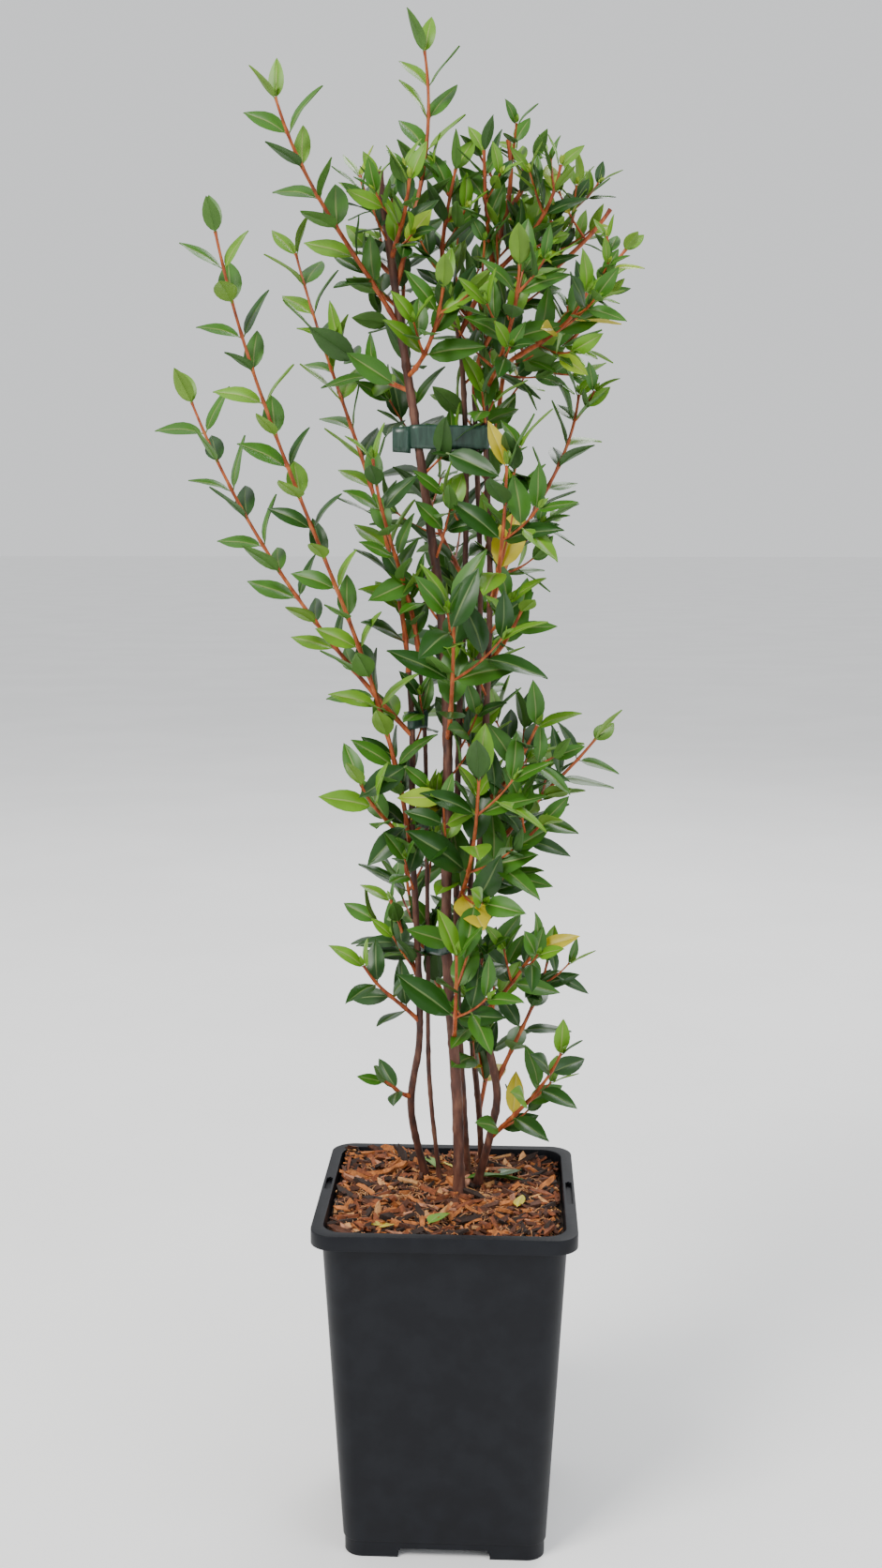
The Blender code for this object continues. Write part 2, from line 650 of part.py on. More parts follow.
def try_leaf(owner, pieces, root, along, out, length, angle, radius, limit):
    """Add one leaf where there is room for it, turned a little about the twig if need be."""
    for turn in LEAF_TRIES:
        turned = Matrix.Rotation(math.radians(turn), 3, along) @ out
        frame = leaf_matrix(root, along, turned, angle, radius * 0.35)
        body = leaf_shape(length, 2 * GAP)
        body.transform(frame)
        tree = tree_of(body)
        for vert in body.verts:
            if (vert.co - root).length < LEAF_ROOT_FREE * length:
                vert.co = vert.co.lerp(frame @ Vector((length, 0, 0)), LEAF_ROOT_FREE)
        tip_tree = tree_of(body)
        inside = all(limit(vert.co) for vert in body.verts)
        body.free()
        if inside and is_free(owner, tree, tip_tree):
            leaf = leaf_shape(length, 0.0)
            leaf.transform(frame)
            pieces.append(leaf)
            occupied.append((owner, tree, tip_tree))
            return


def above_ground(point):
    return point.z > POT_HEIGHT + 2 * MM


def leaf_pairs(owner, pieces, path, spacing, length, foot, tip, turn, first):
    """Opposite pairs along a path, each a quarter turn on, smaller towards the tip."""
    whole = path_length(path)
    count = int((whole - first) / spacing) + 1
    nodes = []
    for index in range(count):
        distance = whole - 1.2 * MM - (count - 1 - index) * spacing
        if distance < first:
            continue
        root, along = along_path(path, distance)
        side = along.orthogonal().normalized()
        left_to_go = count - 1 - index
        size = length * (0.68, 0.85, 1.0)[min(left_to_go, 2)] * rng.uniform(0.92, 1.08)
        angle = TIP_LEAF_ANGLE if left_to_go == 0 else LEAF_ANGLE + rng.uniform(-7, 7)
        spin = math.radians(turn + 90 * index)
        out = Matrix.Rotation(spin, 3, along) @ side
        radius = foot + (tip - foot) * distance / whole
        for way in (out, -out):
            try_leaf(owner, pieces, root, along, way, size, angle, radius, above_ground)
        nodes.append((root, along, out))
    return nodes


def build_shoot_stem(name, row):
    """The bare stem of a shoot, set on its parent before any leaf is placed."""
    parent, height, tip, leave, arrive, *_ = row
    tip = plant_point(tip)
    start, first = start_on(limbs[parent], height, tip, SHOOT_FOOT, leave)
    path = arc_path(start, tip, first, leave, arrive, SHOOT_STEP)
    radii = taper(path, SHOOT_FOOT, SHOOT_TIP)
    bm = tube(name, path, radii, three_sides)
    limbs[name] = Limb(path, SHOOT_FOOT, SHOOT_TIP, tree_of(bm))
    occupied.append((name, limbs[name].tree, limbs[name].tree))
    return mesh_from(bm, name)


def grow_shoot(name, row):
    """All the solids of one shoot: side twigs and leaves, to be joined to its stem."""
    _, _, _, _, _, length, spacing, twigs = row
    path = limbs[name].path
    length *= MM
    spacing *= MM
    pieces = []
    turn = rng.uniform(0, 90)
    nodes = leaf_pairs(name, pieces, path, spacing, length, SHOOT_FOOT, SHOOT_TIP, turn,
                       spacing * 0.7)
    chosen = nodes[: max(0, len(nodes) - 2)][:: max(1, len(nodes) // (twigs + 1))][:twigs]
    for number, (root, along, out) in enumerate(chosen):
        for way in (out, -out, out.cross(along), along.cross(out)):
            if try_twig(name, pieces, root, along, way, length, spacing, number):
                break
    return pieces


def try_twig(owner, pieces, root, along, out, length, spacing, number):
    """A short side twig with a few pairs of leaves, where there is room for it."""
    reach = (TWIG_PAIRS * 0.8 + 0.4) * spacing * rng.uniform(0.9, 1.1)
    spread = math.radians(TWIG_ANGLE)
    forward = along * math.cos(spread) + out * math.sin(spread)
    bend = (forward + Vector((0, 0, 0.5))).normalized()
    path = [root, root + forward * reach * 0.5,
            root + forward * reach * 0.5 + bend * reach * 0.5]
    radii = [TWIG_FOOT, (TWIG_FOOT + TWIG_TIP) / 2, TWIG_TIP]
    wide = [radius + GAP * 1.5 for radius in radii]
    probe = tube("probe", path, wide, three_sides)
    tree = tree_of(probe)
    probe.free()
    probe = tube("probe", [path[0].lerp(path[1], 0.5), *path[1:]], wide, three_sides)
    outer_tree = tree_of(probe)
    probe.free()
    if not above_ground(path[-1]) or not is_free(owner, tree, outer_tree):
        return False
    pieces.append(tube(f"{owner}_twig_{number}", path, radii, three_sides))
    occupied.append((owner, tree, outer_tree))
    leaf_pairs(owner, pieces, path, spacing * 0.8, length * 0.9, TWIG_FOOT, TWIG_TIP, 20,
               spacing * 0.7)
    return True


def is_closed(mesh):
    bm = bmesh.new()
    bm.from_mesh(mesh)
    closed = all(edge.is_manifold for edge in bm.edges)
    bm.free()
    return closed and len(mesh.polygons) > 0


def join(name, body, pieces, finish):
    """One Boolean union of a shoot's stem with a collection of its twigs and leaves."""
    group = new_collection(f"{name}_pieces")
    for number, piece in enumerate(pieces):
        place(mesh_from(piece, f"{name}_{number}"), f"{name}_piece_{number}", finish, group)
    shoot = place(body, name, finish)
    for solver in ("EXACT", "MANIFOLD"):
        union = shoot.modifiers.new("join", "BOOLEAN")
        union.operation = "UNION"
        union.operand_type = "COLLECTION"
        union.collection = group
        union.solver = solver
        bpy.context.view_layer.update()
        evaluated = shoot.evaluated_get(bpy.context.evaluated_depsgraph_get())
        joined = bpy.data.meshes.new_from_object(evaluated)
        shoot.modifiers.remove(union)
        if is_closed(joined):
            break
    for thing in list(group.objects):
        bpy.data.objects.remove(thing, do_unlink=True)
    bpy.data.collections.remove(group)
    shoot.data = keep_largest(joined)
    return shoot


def keep_largest(mesh):
    """Drop loose scraps and the skins of sealed hollows."""
    bm = bmesh.new()
    bm.from_mesh(mesh)
    left = set(bm.verts)
    groups = []
    while left:
        stack = [left.pop()]
        group = set(stack)
        while stack:
            vert = stack.pop()
            for edge in vert.link_edges:
                other = edge.other_vert(vert)
                if other in left:
                    left.discard(other)
                    group.add(other)
                    stack.append(other)
        groups.append(group)
    groups.sort(key=len)
    scraps = [vert for group in groups[:-1] for vert in group]
    bmesh.ops.delete(bm, geom=scraps, context="VERTS")
    bmesh.ops.triangulate(bm, faces=bm.faces)
    bm.to_mesh(mesh)
    bm.free()
    return mesh


# Build

clear_scene()
rng = random.Random(RANDOM_SEED)
parts = new_collection(OBJECT_NAME)
cutters = new_collection("cutters")
origin = bpy.data.objects.new(OBJECT_NAME, None)
parts.objects.link(origin)
origin.location = POT_PLACE
three_sides = three_sided_bevel()

plastic = material("pot_plastic", (0.018, 0.020, 0.025), 0.45)
mix = material("potting_mix", (0.16, 0.065, 0.028), 0.9)
bark = material("stem_bark", (0.16, 0.055, 0.030), 0.7)
young_bark = material("young_bark", (0.36, 0.09, 0.030), 0.6)
tape = material("tie_tape", (0.022, 0.060, 0.040), 0.5)
leaves = material("leaves", (0.045, 0.13, 0.020), 0.4)

limbs = {}
occupied = []

build_pot(plastic)
build_potting_mix(mix)
for stem_name, stem_row in STEMS.items():
    limbs[stem_name] = build_stem(stem_name, stem_row, bark)
    occupied.append((stem_name, limbs[stem_name].tree, limbs[stem_name].tree))
for bough_name, bough_row in BOUGHS.items():
    limbs[bough_name] = build_bough(bough_name, bough_row, young_bark)
    occupied.append((bough_name, limbs[bough_name].tree, limbs[bough_name].tree))
for tie_name, tie_row in TIES.items():
    build_tie(tie_name, tie_row, tape)

stems_of_shoots = {}
for shoot_name, shoot_row in SHOOTS.items():
    stems_of_shoots[shoot_name] = build_shoot_stem(shoot_name, shoot_row)
for shoot_name, shoot_row in SHOOTS.items():
    shoot_pieces = grow_shoot(shoot_name, shoot_row)
    join(shoot_name, stems_of_shoots[shoot_name], shoot_pieces, leaves)
bpy.data.objects.remove(three_sides, do_unlink=True)
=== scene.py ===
import math
import random

import bmesh
import bpy
import numpy as np
from mathutils import Matrix, Vector
from mathutils.geometry import convex_hull_2d
from mathutils.noise import noise


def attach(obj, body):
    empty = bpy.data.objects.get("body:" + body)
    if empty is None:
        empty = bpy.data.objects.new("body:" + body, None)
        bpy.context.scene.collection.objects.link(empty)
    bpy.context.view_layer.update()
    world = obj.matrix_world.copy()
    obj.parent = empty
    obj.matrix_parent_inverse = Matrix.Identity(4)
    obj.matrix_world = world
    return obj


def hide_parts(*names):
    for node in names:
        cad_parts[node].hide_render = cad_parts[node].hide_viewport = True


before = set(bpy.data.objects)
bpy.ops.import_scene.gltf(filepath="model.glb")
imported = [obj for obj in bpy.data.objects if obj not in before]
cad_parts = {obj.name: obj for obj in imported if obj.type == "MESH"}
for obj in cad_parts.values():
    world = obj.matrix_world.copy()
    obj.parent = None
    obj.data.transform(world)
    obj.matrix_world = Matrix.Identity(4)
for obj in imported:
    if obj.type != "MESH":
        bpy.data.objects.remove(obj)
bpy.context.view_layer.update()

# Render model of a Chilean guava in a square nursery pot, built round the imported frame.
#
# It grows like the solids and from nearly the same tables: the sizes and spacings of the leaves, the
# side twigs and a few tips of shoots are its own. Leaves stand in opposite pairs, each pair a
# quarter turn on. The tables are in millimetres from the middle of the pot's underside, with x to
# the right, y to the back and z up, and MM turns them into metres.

MM = 0.001
POT_PLACE = Vector((27 * MM, -14 * MM, 0.0))
PLANT_TURN = Matrix.Rotation(math.radians(2.84), 3, "Z")
RANDOM_SEED = 11

# Camera: where the photo was taken from, as seen from the middle of the pot's underside
CAMERA_AT = Vector((34.9 * MM, -1001.8 * MM, 592 * MM))
CAMERA_TURN = math.radians(2.84)
CAMERA_DOWN = math.radians(8.42)
CAMERA_LENS = 40.58
CAMERA_SHIFT = 0.01146

# Pot
RIM_WIDTH = 150 * MM
POT_HEIGHT = 201 * MM
CORNER = 13.7 * MM
CORNER_STEPS = 9
RIM_BAND = 8.5 * MM
SHEET = 1.2 * MM
WALL_TOP = 139 * MM
WALL_FOOT = 118 * MM
FOOT_BAND = 10 * MM
FOOT_INSET = 0.9 * MM
FOOT_HEIGHT = 5.5 * MM
FOOT_GAP = 53 * MM
FLOOR = 7 * MM
SLOT_WIDTH = 3.7 * MM
SLOTS = {"left": (-1, 20 * MM, 5.5 * MM), "right": (1, 36 * MM, -3.5 * MM)}
SLOT_DEPTH = 3 * MM
SLOT_AT = (RIM_WIDTH / 2 - SHEET + WALL_TOP / 2) / 2
EDGE_ROUND = 0.45 * MM
ROUND_SHARES = (0.0, 0.33, 0.67, 1.0)  # where the points of a small round lie on it
CUT_ROUND = 1.3 * MM  # rounding of the slots' and the foot gaps' edges
CUT_SEGMENTS = 3
CUT_LENGTH = 1.2  # cut between the feet against the rim's width
SHADE_PLATE_WIDTH = 1.3  # dark plate under a slot, put there as painted shade in it, against the slot
SHADE_PLATE_LENGTH = 1.4

# Top of the potting mix
SOIL_TOP = 192 * MM
CHIP_BED = 2 * MM  # how far the chips rise over the mix
HEAP = 7 * MM  # how far they are heaped at the back left
BED_BUMP = 2.5 * MM
BED_BUMP_SCALE = 45

# Bark chips: shares are of a chip's own length or thickness, tilts in radians
CHIPS = 3300
CHIP_LENGTHS = (5 * MM, 25 * MM)
CHIP_SHORTNESS = 2.2  # power of the draw: most chips are short
CHIP_WIDTHS = (0.09, 0.36)
CHIP_WIDEST = 5 * MM
CHIP_THICKNESSES = (0.06, 0.14)
CHIP_THINNEST = 0.7 * MM
CHIP_CORNERS = 6
CORNER_SHIFT = 0.25  # of the angle between two corners
CORNER_REACHES = (0.75, 1.1)
CHIP_BOW = 0.06
CHIP_UNEVENNESS = 0.2
CHIP_TILT_X = 0.9
CHIP_TILT_Y = 0.5
CHIP_RISE = 3.0  # up or down from the bed, in mm
CHIP_MARGIN = 1.5 * MM  # from the wall to a chip's middle
CHIP_PAST = 0.8 * MM  # how far its corners may pass that line

# Fibres: a curled path of short steps over the chips
FIBRES = 220
FIBRE_RADIUS = 0.28 * MM
FIBRE_STEP = 2 * MM
FIBRE_STEPS = 9
FEWEST_STEPS = 3
FIBRE_CURL = 0.5
FIBRE_WANDER = 0.2
FIBRE_START = 3 * MM  # height over the bed where it starts
FIBRE_HEIGHT = 2.2  # and from there on, in mm, with its rise and fall
FIBRE_ARCH = 1.5
FIBRE_ARCHES = 0.9
FIBRE_MARGIN = 4 * MM
FIBRE_SPREAD = 0.9

# Fallen leaves: place in mm, length in mm, turn in degrees, colour
LITTER = (((-12, -50), 22, 60, "fresh"), ((10, 20), 34, 10, "middle"),
          ((4, 34), 14, 140, "yellowed"), ((-34, -44), 12, 200, "yellowed"),
          ((-40, -52), 9, 20, "yellowed"), ((-16, 52), 24, 300, "fresh"),
          ((40, -20), 15, 80, "yellowed"), ((46, 40), 22, 220, "old"))
LITTER_HEIGHT = 4 * MM
LITTER_SLOPE = 0.12
LITTER_ROLL = 0.3

# Stems: radius at the foot and at the tip in mm, and the stations they pass through in mm
STEMS = {
    "main_stem": (3.3, 2.2, (
        (7, 5, 192), (5, 0, 262), (-1, -5, 343), (-1, -5, 480), (-5, -2, 544), (-18, 0, 639),
        (-27, 0, 697), (-34, 0, 748), (-39, 0, 781))),
    "left_stem": (2.3, 1.6, (
        (-12, 30, 192), (-22, 20, 245), (-17, 12, 288), (-18, 8, 346), (-21, 5, 408),
        (-21, 3, 479), (-23, 1, 508))),
    "slim_stem": (1.4, 1.2, (
        (-4, 22, 192), (-11, 14, 264), (-12, 13, 345), (-14, 11, 478), (-17, 6, 515))),
    "middle_stem": (2.1, 1.4, (
        (13, 31, 192), (9, 18, 255), (5, 10, 340), (6, 8, 478), (9, 6, 559), (9, 6, 640),
        (5, 4, 694), (-1, 2, 714))),
    "back_stem": (1.9, 1.4, (
        (22, 50, 192), (19, 34, 240), (13, 20, 304), (12, 17, 344), (17, 16, 478),
        (18, 16, 559), (15, 14, 640), (14, 12, 663))),
    "right_stem": (2.5, 1.5, (
        (17, 20, 192), (26, 8, 235), (29, 5, 258), (21, 1, 302), (17, 0, 348), (21, 0, 474),
        (23, 0, 559), (20, 0, 639), (20, 0, 660))),
}
ROOT_FLARE = 0.45
FLARE_HEIGHT = 9 * MM
BELOW_SOIL = 4 * MM  # how far a stem starts under the top of the mix

# Tubes: number of sides, and how far the bark's relief goes in and out against the radius
TUBES = {
    "stem": (10, 0.16),
    "bough": (8, 0.10),
    "shoot": (7, 0.10),
    "twig": (6, 0.06),
    "fibre": (5, 0.0),
}
RELIEF_ROUND = 1.6  # how fast the relief changes round a limb
RELIEF_LENGTH = 6 * MM  # and along it
LIMB_STEP = 3 * MM
ARC_REACH = 0.36  # pull of an arc's two ends, against its chord
ARC_STEPS = 4  # fewest steps of an arc
CUT_END = 1  # place of the cut wood in a limb's materials

# Nodes, where leaves stand or stood: spacing, and swelling against the radius
STEM_NODES = 26 * MM
STEM_SWELL = 0.16
BOUGH_NODES = 17 * MM
BOUGH_SWELL = 0.22
SHOOT_SWELL = 0.35
NODE_WIDTH = 1.6 * MM

# Ties: height of the middle, height of the band, rise to the right (mm per mm), stems
TIES = {
    "lower_tie": (351, 12, 0.30, ("main_stem", "slim_stem", "middle_stem")),
    "middle_tie": (480, 10, 0.0, ("left_stem", "slim_stem")),
    "upper_tie": (639, 13, 0.0, ("main_stem", "middle_stem", "back_stem", "right_stem")),
}
TIE_EASE = 1.15  # loop round a stem against its radius, and over it
TIE_CLEAR = 0.4 * MM
TIE_STEPS = 24
TAPE_THICK = 0.45 * MM
TAPE_STEP = 1.5 * MM
TAPE_ROWS = 7
TAPE_WAVE = 0.45 * MM  # waves in and out
TAPE_WAVE_SCALE = 70
TAPE_WAVE_ACROSS = 2.0
TAPE_ROLL = 0.3 * MM  # how far the edges roll in
TAPE_ROLL_POWER = 4
EDGE_WAVE = 0.6 * MM  # waves up and down
EDGE_WAVE_SCALE = 90

# Free end of the upper tie, folded back on itself: x and y in mm from the tie's left side
TAIL = ((0.5, -1.5), (-2.5, -2.5), (-6.0, -2.2), (-9.0, -1.0), (-9.6, 0.6), (-7.0, 1.6),
        (-3.5, 1.2), (-1.0, 0.2))
TAIL_ROWS = 5
TAIL_CURL = 1.2 * MM
TAIL_DROP = 1.5 * MM
TAIL_WIDTH = 15  # in mm, and how much narrower each fold is
TAIL_TAPER = 0.5

TIP = None

# Boughs: parent, height on it, tip in mm, leave, arrive, radius at the foot and the tip in mm
BOUGHS = {
    "upright_bough": ("middle_stem", 694, (32, 10, 800), 64, 100, 1.5, 1.2),
    "middle_bough": ("back_stem", TIP, (90, 22, 765), 52, 56, 1.4, 1.1),
    "low_bough": ("right_stem", TIP, (57, -8, 697), 44, 47, 1.4, 1.1),
    "back_bough": ("back_stem", 585, (38, 66, 722), 62, 70, 1.5, 1.1),
}

# Shoots, numbered from 1 in each region: parent, height on it in mm, tip in mm, leave, arrive,
# leaf length and spacing of the pairs in mm, half the number of side twigs, colours
SHOOT_ROWS = {
    "left": (
        ("left_stem", 471, (-147, 28, 660), 46, 68, 21, 18, 0, "left"),
        ("left_stem", 380, (-123, -50, 742), 86, 78, 20, 18, 0, "left"),
        ("left_stem", TIP, (-88, 48, 745), 64, 72, 22, 18, 0, "left"),
        ("slim_stem", TIP, (-42, -30, 626), 84, 80, 19, 14, 0, "left"),
        ("main_stem", 697, (-92, -36, 812), 56, 72, 21, 18, 0, "left"),
        ("main_stem", 727, (-47, 14, 744), 20, 30, 17, 10, 0, "left"),
        ("main_stem", 664, (-62, 20, 692), 20, 48, 23, 14, 0, "left"),
        ("left_shoot_2", 404, (-50, -16, 446), 56, 64, 24, 15, 0, "left"),
        ("left_stem", 326, (-34, 22, 371), 60, 60, 21, 13, 0, "old"),
        ("left_stem", 300, (-49, -6, 338), 48, 60, 22, 13, 0, "old"),
        ("left_stem", 252, (-38, 4, 266), 10, 30, 19, 12, 0, "old"),
    ),
    "top": (
        ("main_stem", 718, (-14, 8, 846), 74, 100, 23, 17, 0, "tip"),
        ("middle_stem", TIP, (3, -4, 782), 96, 70, 23, 14, 2, "tip"),
        ("main_stem", 748, (-50, 26, 784), 50, 70, 20, 12, 1, "tip"),
        ("main_stem", 735, (-22, -30, 772), 40, 75, 22, 13, 2, "tip"),
        ("main_stem", 690, (-26, 46, 762), 35, 78, 23, 14, 2, "mixed"),
        ("main_stem", 672, (-4, -34, 716), 20, 75, 24, 13, 2, "mixed"),
    ),
    "head": (
        ("upright_bough", 735, (18, -12, 790), 50, 84, 20, 12, 1, "tip"),
        ("upright_bough", 722, (60, -4, 784), 40, 82, 21, 13, 2, "tip"),
        ("upright_bough", 762, (48, 22, 792), 40, 60, 19, 11, 1, "tip"),
        ("middle_bough", 690, (56, 4, 756), 60, 74, 21, 13, 2, "mixed"),
        ("middle_bough", 728, (74, 40, 782), 40, 76, 20, 13, 2, "tip"),
        ("low_bough", TIP, (95, -16, 738), 44, 50, 17, 11, 2, "tip"),
        ("low_bough", 682, (72, -40, 712), 20, 55, 23, 14, 2, "mixed"),
        ("low_bough", 668, (36, -46, 726), 30, 80, 23, 14, 3, "mixed"),
        ("back_bough", TIP, (52, 74, 780), 70, 80, 23, 14, 2, "mixed"),
        ("back_bough", 680, (2, 78, 750), 40, 80, 24, 14, 3, "mixed"),
        ("middle_bough", 676, (78, 52, 704), 10, 50, 24, 14, 3, "mixed"),
    ),
    "right": (
        ("right_stem", 541, (74, 26, 664), 76, 84, 21, 14, 2, "mixed"),
        ("right_stem", 513, (40, -18, 544), 40, 60, 21, 12, 0, "mixed"),
        ("right_stem", 432, (49, -22, 480), 32, 62, 24, 14, 1, "old"),
        ("right_stem", 389, (86, 22, 467), 62, 48, 23, 15, 1, "old"),
        ("right_stem", 372, (52, -26, 425), 48, 40, 24, 14, 1, "old"),
        ("right_stem", 308, (50, -24, 353), 40, 52, 23, 14, 1, "old"),
        ("right_stem", 264, (59, 18, 335), 66, 76, 22, 14, 1, "old"),
        ("right_stem", 228, (65, -14, 288), 48, 66, 21, 13, 1, "old"),
    ),
    "column": (
        ("back_stem", 236, (30, 62, 330), 50, 84, 29, 20, 2, "old"),
        ("middle_stem", 300, (-26, 50, 392), 40, 84, 30, 20, 2, "old"),
        ("back_stem", 372, (46, 50, 470), 40, 84, 31, 20, 2, "old"),
        ("back_stem", 452, (2, 62, 556), 40, 84, 31, 20, 2, "old"),
        ("middle_stem", 560, (-20, 50, 660), 40, 84, 29, 20, 2, "old"),
        ("main_stem", 290, (4, -38, 352), 30, 84, 30, 20, 2, "old"),
        ("middle_stem", 372, (16, -38, 452), 30, 84, 32, 20, 2, "old"),
        ("main_stem", 470, (2, -44, 546), 30, 84, 33, 20, 2, "old"),
        ("right_stem", 545, (30, -42, 622), 30, 84, 30, 20, 2, "old"),
    ),
}
SHOOTS = {f"{region}_shoot_{number}": row for region, region_rows in SHOOT_ROWS.items()
          for number, row in enumerate(region_rows, 1)}

# Leaf colours, and the share of each in a shoot
TONES = ("old", "middle", "fresh", "young", "yellowed")
TONE_SHARES = {
    "old": (0.56, 0.34, 0.08, 0.00, 0.02),
    "mixed": (0.36, 0.47, 0.15, 0.01, 0.01),
    "left": (0.20, 0.55, 0.25, 0.00, 0.00),
    "tip": (0.18, 0.54, 0.25, 0.03, 0.00),
}
YOUNGER_AT_TIP = 0.75  # share of the dark leaves that are a step younger there

SHOOT_FOOT = 1.45 * MM
SHOOT_TIP = 0.75 * MM
TWIG_FOOT = 0.75 * MM
TWIG_TIP = 0.5 * MM

# Side twigs: lengths in spacings of the leaf pairs, angles in degrees
TWIG_LENGTHS = (1.4, 2.0)
TWIG_ANGLE = 48
TWIG_ANGLE_SPREAD = 8
TWIG_LIFT = 0.6  # how far the outer half bends upwards
TWIG_STEPS = 8
TWIG_SPACING = 0.7
TWIG_FIRST_PAIR = 0.5
TWIG_LEAF = 0.85
TWIG_TURN = 20

# Leafy twigs straight on the stems and boughs: from, to, spacing and leaf length in mm, colours
DRESSED = {
    "main_stem": (405, 760, 40, 34, "old"),
    "left_stem": (330, 500, 42, 31, "old"),
    "middle_stem": (385, 700, 40, 33, "old"),
    "back_stem": (265, 650, 38, 33, "old"),
    "right_stem": (290, 650, 38, 32, "old"),
    "slim_stem": (380, 500, 50, 30, "old"),
    "upright_bough": (705, 790, 16, 25, "mixed"),
    "middle_bough": (675, 755, 15, 26, "mixed"),
    "low_bough": (665, 692, 12, 26, "mixed"),
    "back_bough": (620, 715, 18, 28, "mixed"),
}
DRESS_TURN = 0.5  # most that a twig strays from a quarter turn
DRESS_LEAVES = (0.85, 1.1)
DRESS_SPACING = 17
DRESS_SPACINGS = (0.75, 1.15)
DRESS_STEPS = (0.8, 1.2)

# Leaves that stand out in front of the stems: root in mm, direction, length in mm, colour
LONE_LEAVES = (((-2, -9, 437), (-1.0, -0.25, 0.05), 26, "young"),
               ((-2, -10, 630), (0.85, -0.5, -0.35), 33, "old"),
               ((2, -9, 352), (-0.75, -0.4, 0.35), 28, "middle"),
               ((-18, -3, 560), (-0.8, -0.5, -0.3), 30, "middle"),
               ((-24, -6, 455), (-0.85, -0.45, -0.5), 31, "old"),
               ((-24, -4, 420), (-0.80, -0.35, -0.75), 30, "old"))

# Leaf pairs: angles in degrees, the rest against the shoot's own measures unless in mm
LEAF_ANGLES = {"old": 58, "mixed": 50, "left": 45, "tip": 42}
LEAF_ANGLE_SPREAD = 10
TIP_LEAF_ANGLE = 26
TIP_SIZES = (0.80, 0.94, 1.0)  # size of the last pairs against the others
BUD_SIZE = 0.24
BUD_ANGLE = 14
FIRST_PAIR = 0.7  # from the foot of a shoot, in spacings
LAST_PAIR = 1.2 * MM  # from its tip
PAIR_TWIST = 12
PAIR_SIZES = (0.86, 1.1)
LEAF_ROOT = 0.7  # depth of a leaf's root, in radii from the middle

# How a leaf hangs
LEAF_GROWTH = {"old": 1.20, "mixed": 1.20, "left": 1.30, "tip": 1.14}  # size against the tables
LIGHT_SIDE = Vector((0.0, -0.95, 0.45))  # where the leaves turn their upper faces
LIGHT_PULL = (0.4, 1.2)
LEAF_ROLL = 16
LEAF_WIDTHS = (0.9, 1.12)
LOWEST_LEAF = POT_HEIGHT * 0.99  # a leaf that would reach lower is left out
LEAVES_IN_PIECE = 600

# One leaf, for a length of 1
LEAF_ROWS = (0.0, 0.06, 0.17, 0.31, 0.47, 0.63, 0.79, 0.92, 1.0)
LEAF_COLUMNS = (-1.0, -0.55, -0.07, 0.0, 0.07, 0.55, 1.0)
LEAF_WIDTH = 0.46
BASE_POWER = 0.66  # how full the outline is at the base and the point
POINT_POWER = 0.98
OUTLINE_STEPS = 50
POINT_WIDTH = 0.002
LEAF_THICK = 0.012
EDGE_THICK = 0.2  # thickness along the edge against the rest
PETIOLE = 0.07
PETIOLE_WIDTH = 0.018
RIB_DEPTH = 0.010  # the midrib's groove, and its ridge below
RIB_WIDTH = 0.05
RIB_RIDGE = 0.012
VEIN_DEPTH = 0.010
VEIN_PAIRS = 4.5
VEIN_SLANT = 1.6
FOLD_POWER = 1.3
RIPPLE = 0.02
RIPPLE_ALONG = 5
RIPPLE_ACROSS = 1.5
# Fold, droop and bend to one side of each form that a leaf can have
LEAF_FORMS = ((0.06, 0.08, 0.00), (0.10, 0.14, 0.03), (0.03, 0.04, -0.03), (0.08, 0.20, 0.02))
# Places of a leaf's materials
UPPER_SKIN, VEIN_SKIN, UNDER_SKIN = range(3)

# Edges between faces are drawn sharp past this angle in degrees
LIMB_CREASE = 50
LEAF_CREASE = 80
CHIP_CREASE = 30
POT_CREASE = 38


# Camera

def add_object(name, data):
    made = bpy.data.objects.new(name, data)
    bpy.context.scene.collection.objects.link(made)
    return made


eye = bpy.data.cameras.new("camera")
eye.lens = CAMERA_LENS
eye.sensor_width = 36.0
eye.shift_x = CAMERA_SHIFT
eye.clip_start = 0.01
camera = add_object("camera", eye)
camera.location = POT_PLACE + CAMERA_AT
camera.rotation_euler = (math.pi / 2 - CAMERA_DOWN, 0.0, CAMERA_TURN)
bpy.context.scene.camera = camera


# Materials

def grain(tree, scale, detail, stretch):
    """A noise texture over the object, drawn out along an axis where stretch is under 1."""
    place = tree.nodes.new("ShaderNodeTexCoord")
    mapping = tree.nodes.new("ShaderNodeMapping")
    mapping.inputs["Scale"].default_value = stretch
    texture = tree.nodes.new("ShaderNodeTexNoise")
    texture.inputs["Scale"].default_value = scale
    texture.inputs["Detail"].default_value = detail
    tree.links.new(place.outputs["Object"], mapping.inputs["Vector"])
    tree.links.new(mapping.outputs["Vector"], texture.inputs["Vector"])
    return texture


def colour_from(tree, texture, stops):
    """A colour ramp over a texture: stops are (position, colour)."""
    ramp = tree.nodes.new("ShaderNodeValToRGB")
    band = ramp.color_ramp
    while len(band.elements) < len(stops):
        band.elements.new(0.5)
    for element, (position, colour) in zip(band.elements, stops):
        element.position = position
        element.color = (*colour, 1.0)
    tree.links.new(texture.outputs["Fac"], ramp.inputs["Fac"])
    return ramp


GRAIN_DETAIL = 5.0
FINE_GRAIN = 3  # grain of the relief against that of the colour
FINE_DETAIL = 4.0
BUMP_STRENGTH = 0.6


def add_bump(tree, shader, texture, height):
    bump = tree.nodes.new("ShaderNodeBump")
    bump.inputs["Distance"].default_value = height
    bump.inputs["Strength"].default_value = BUMP_STRENGTH
    tree.links.new(texture.outputs["Fac"], bump.inputs["Height"])
    tree.links.new(bump.outputs["Normal"], shader.inputs["Normal"])


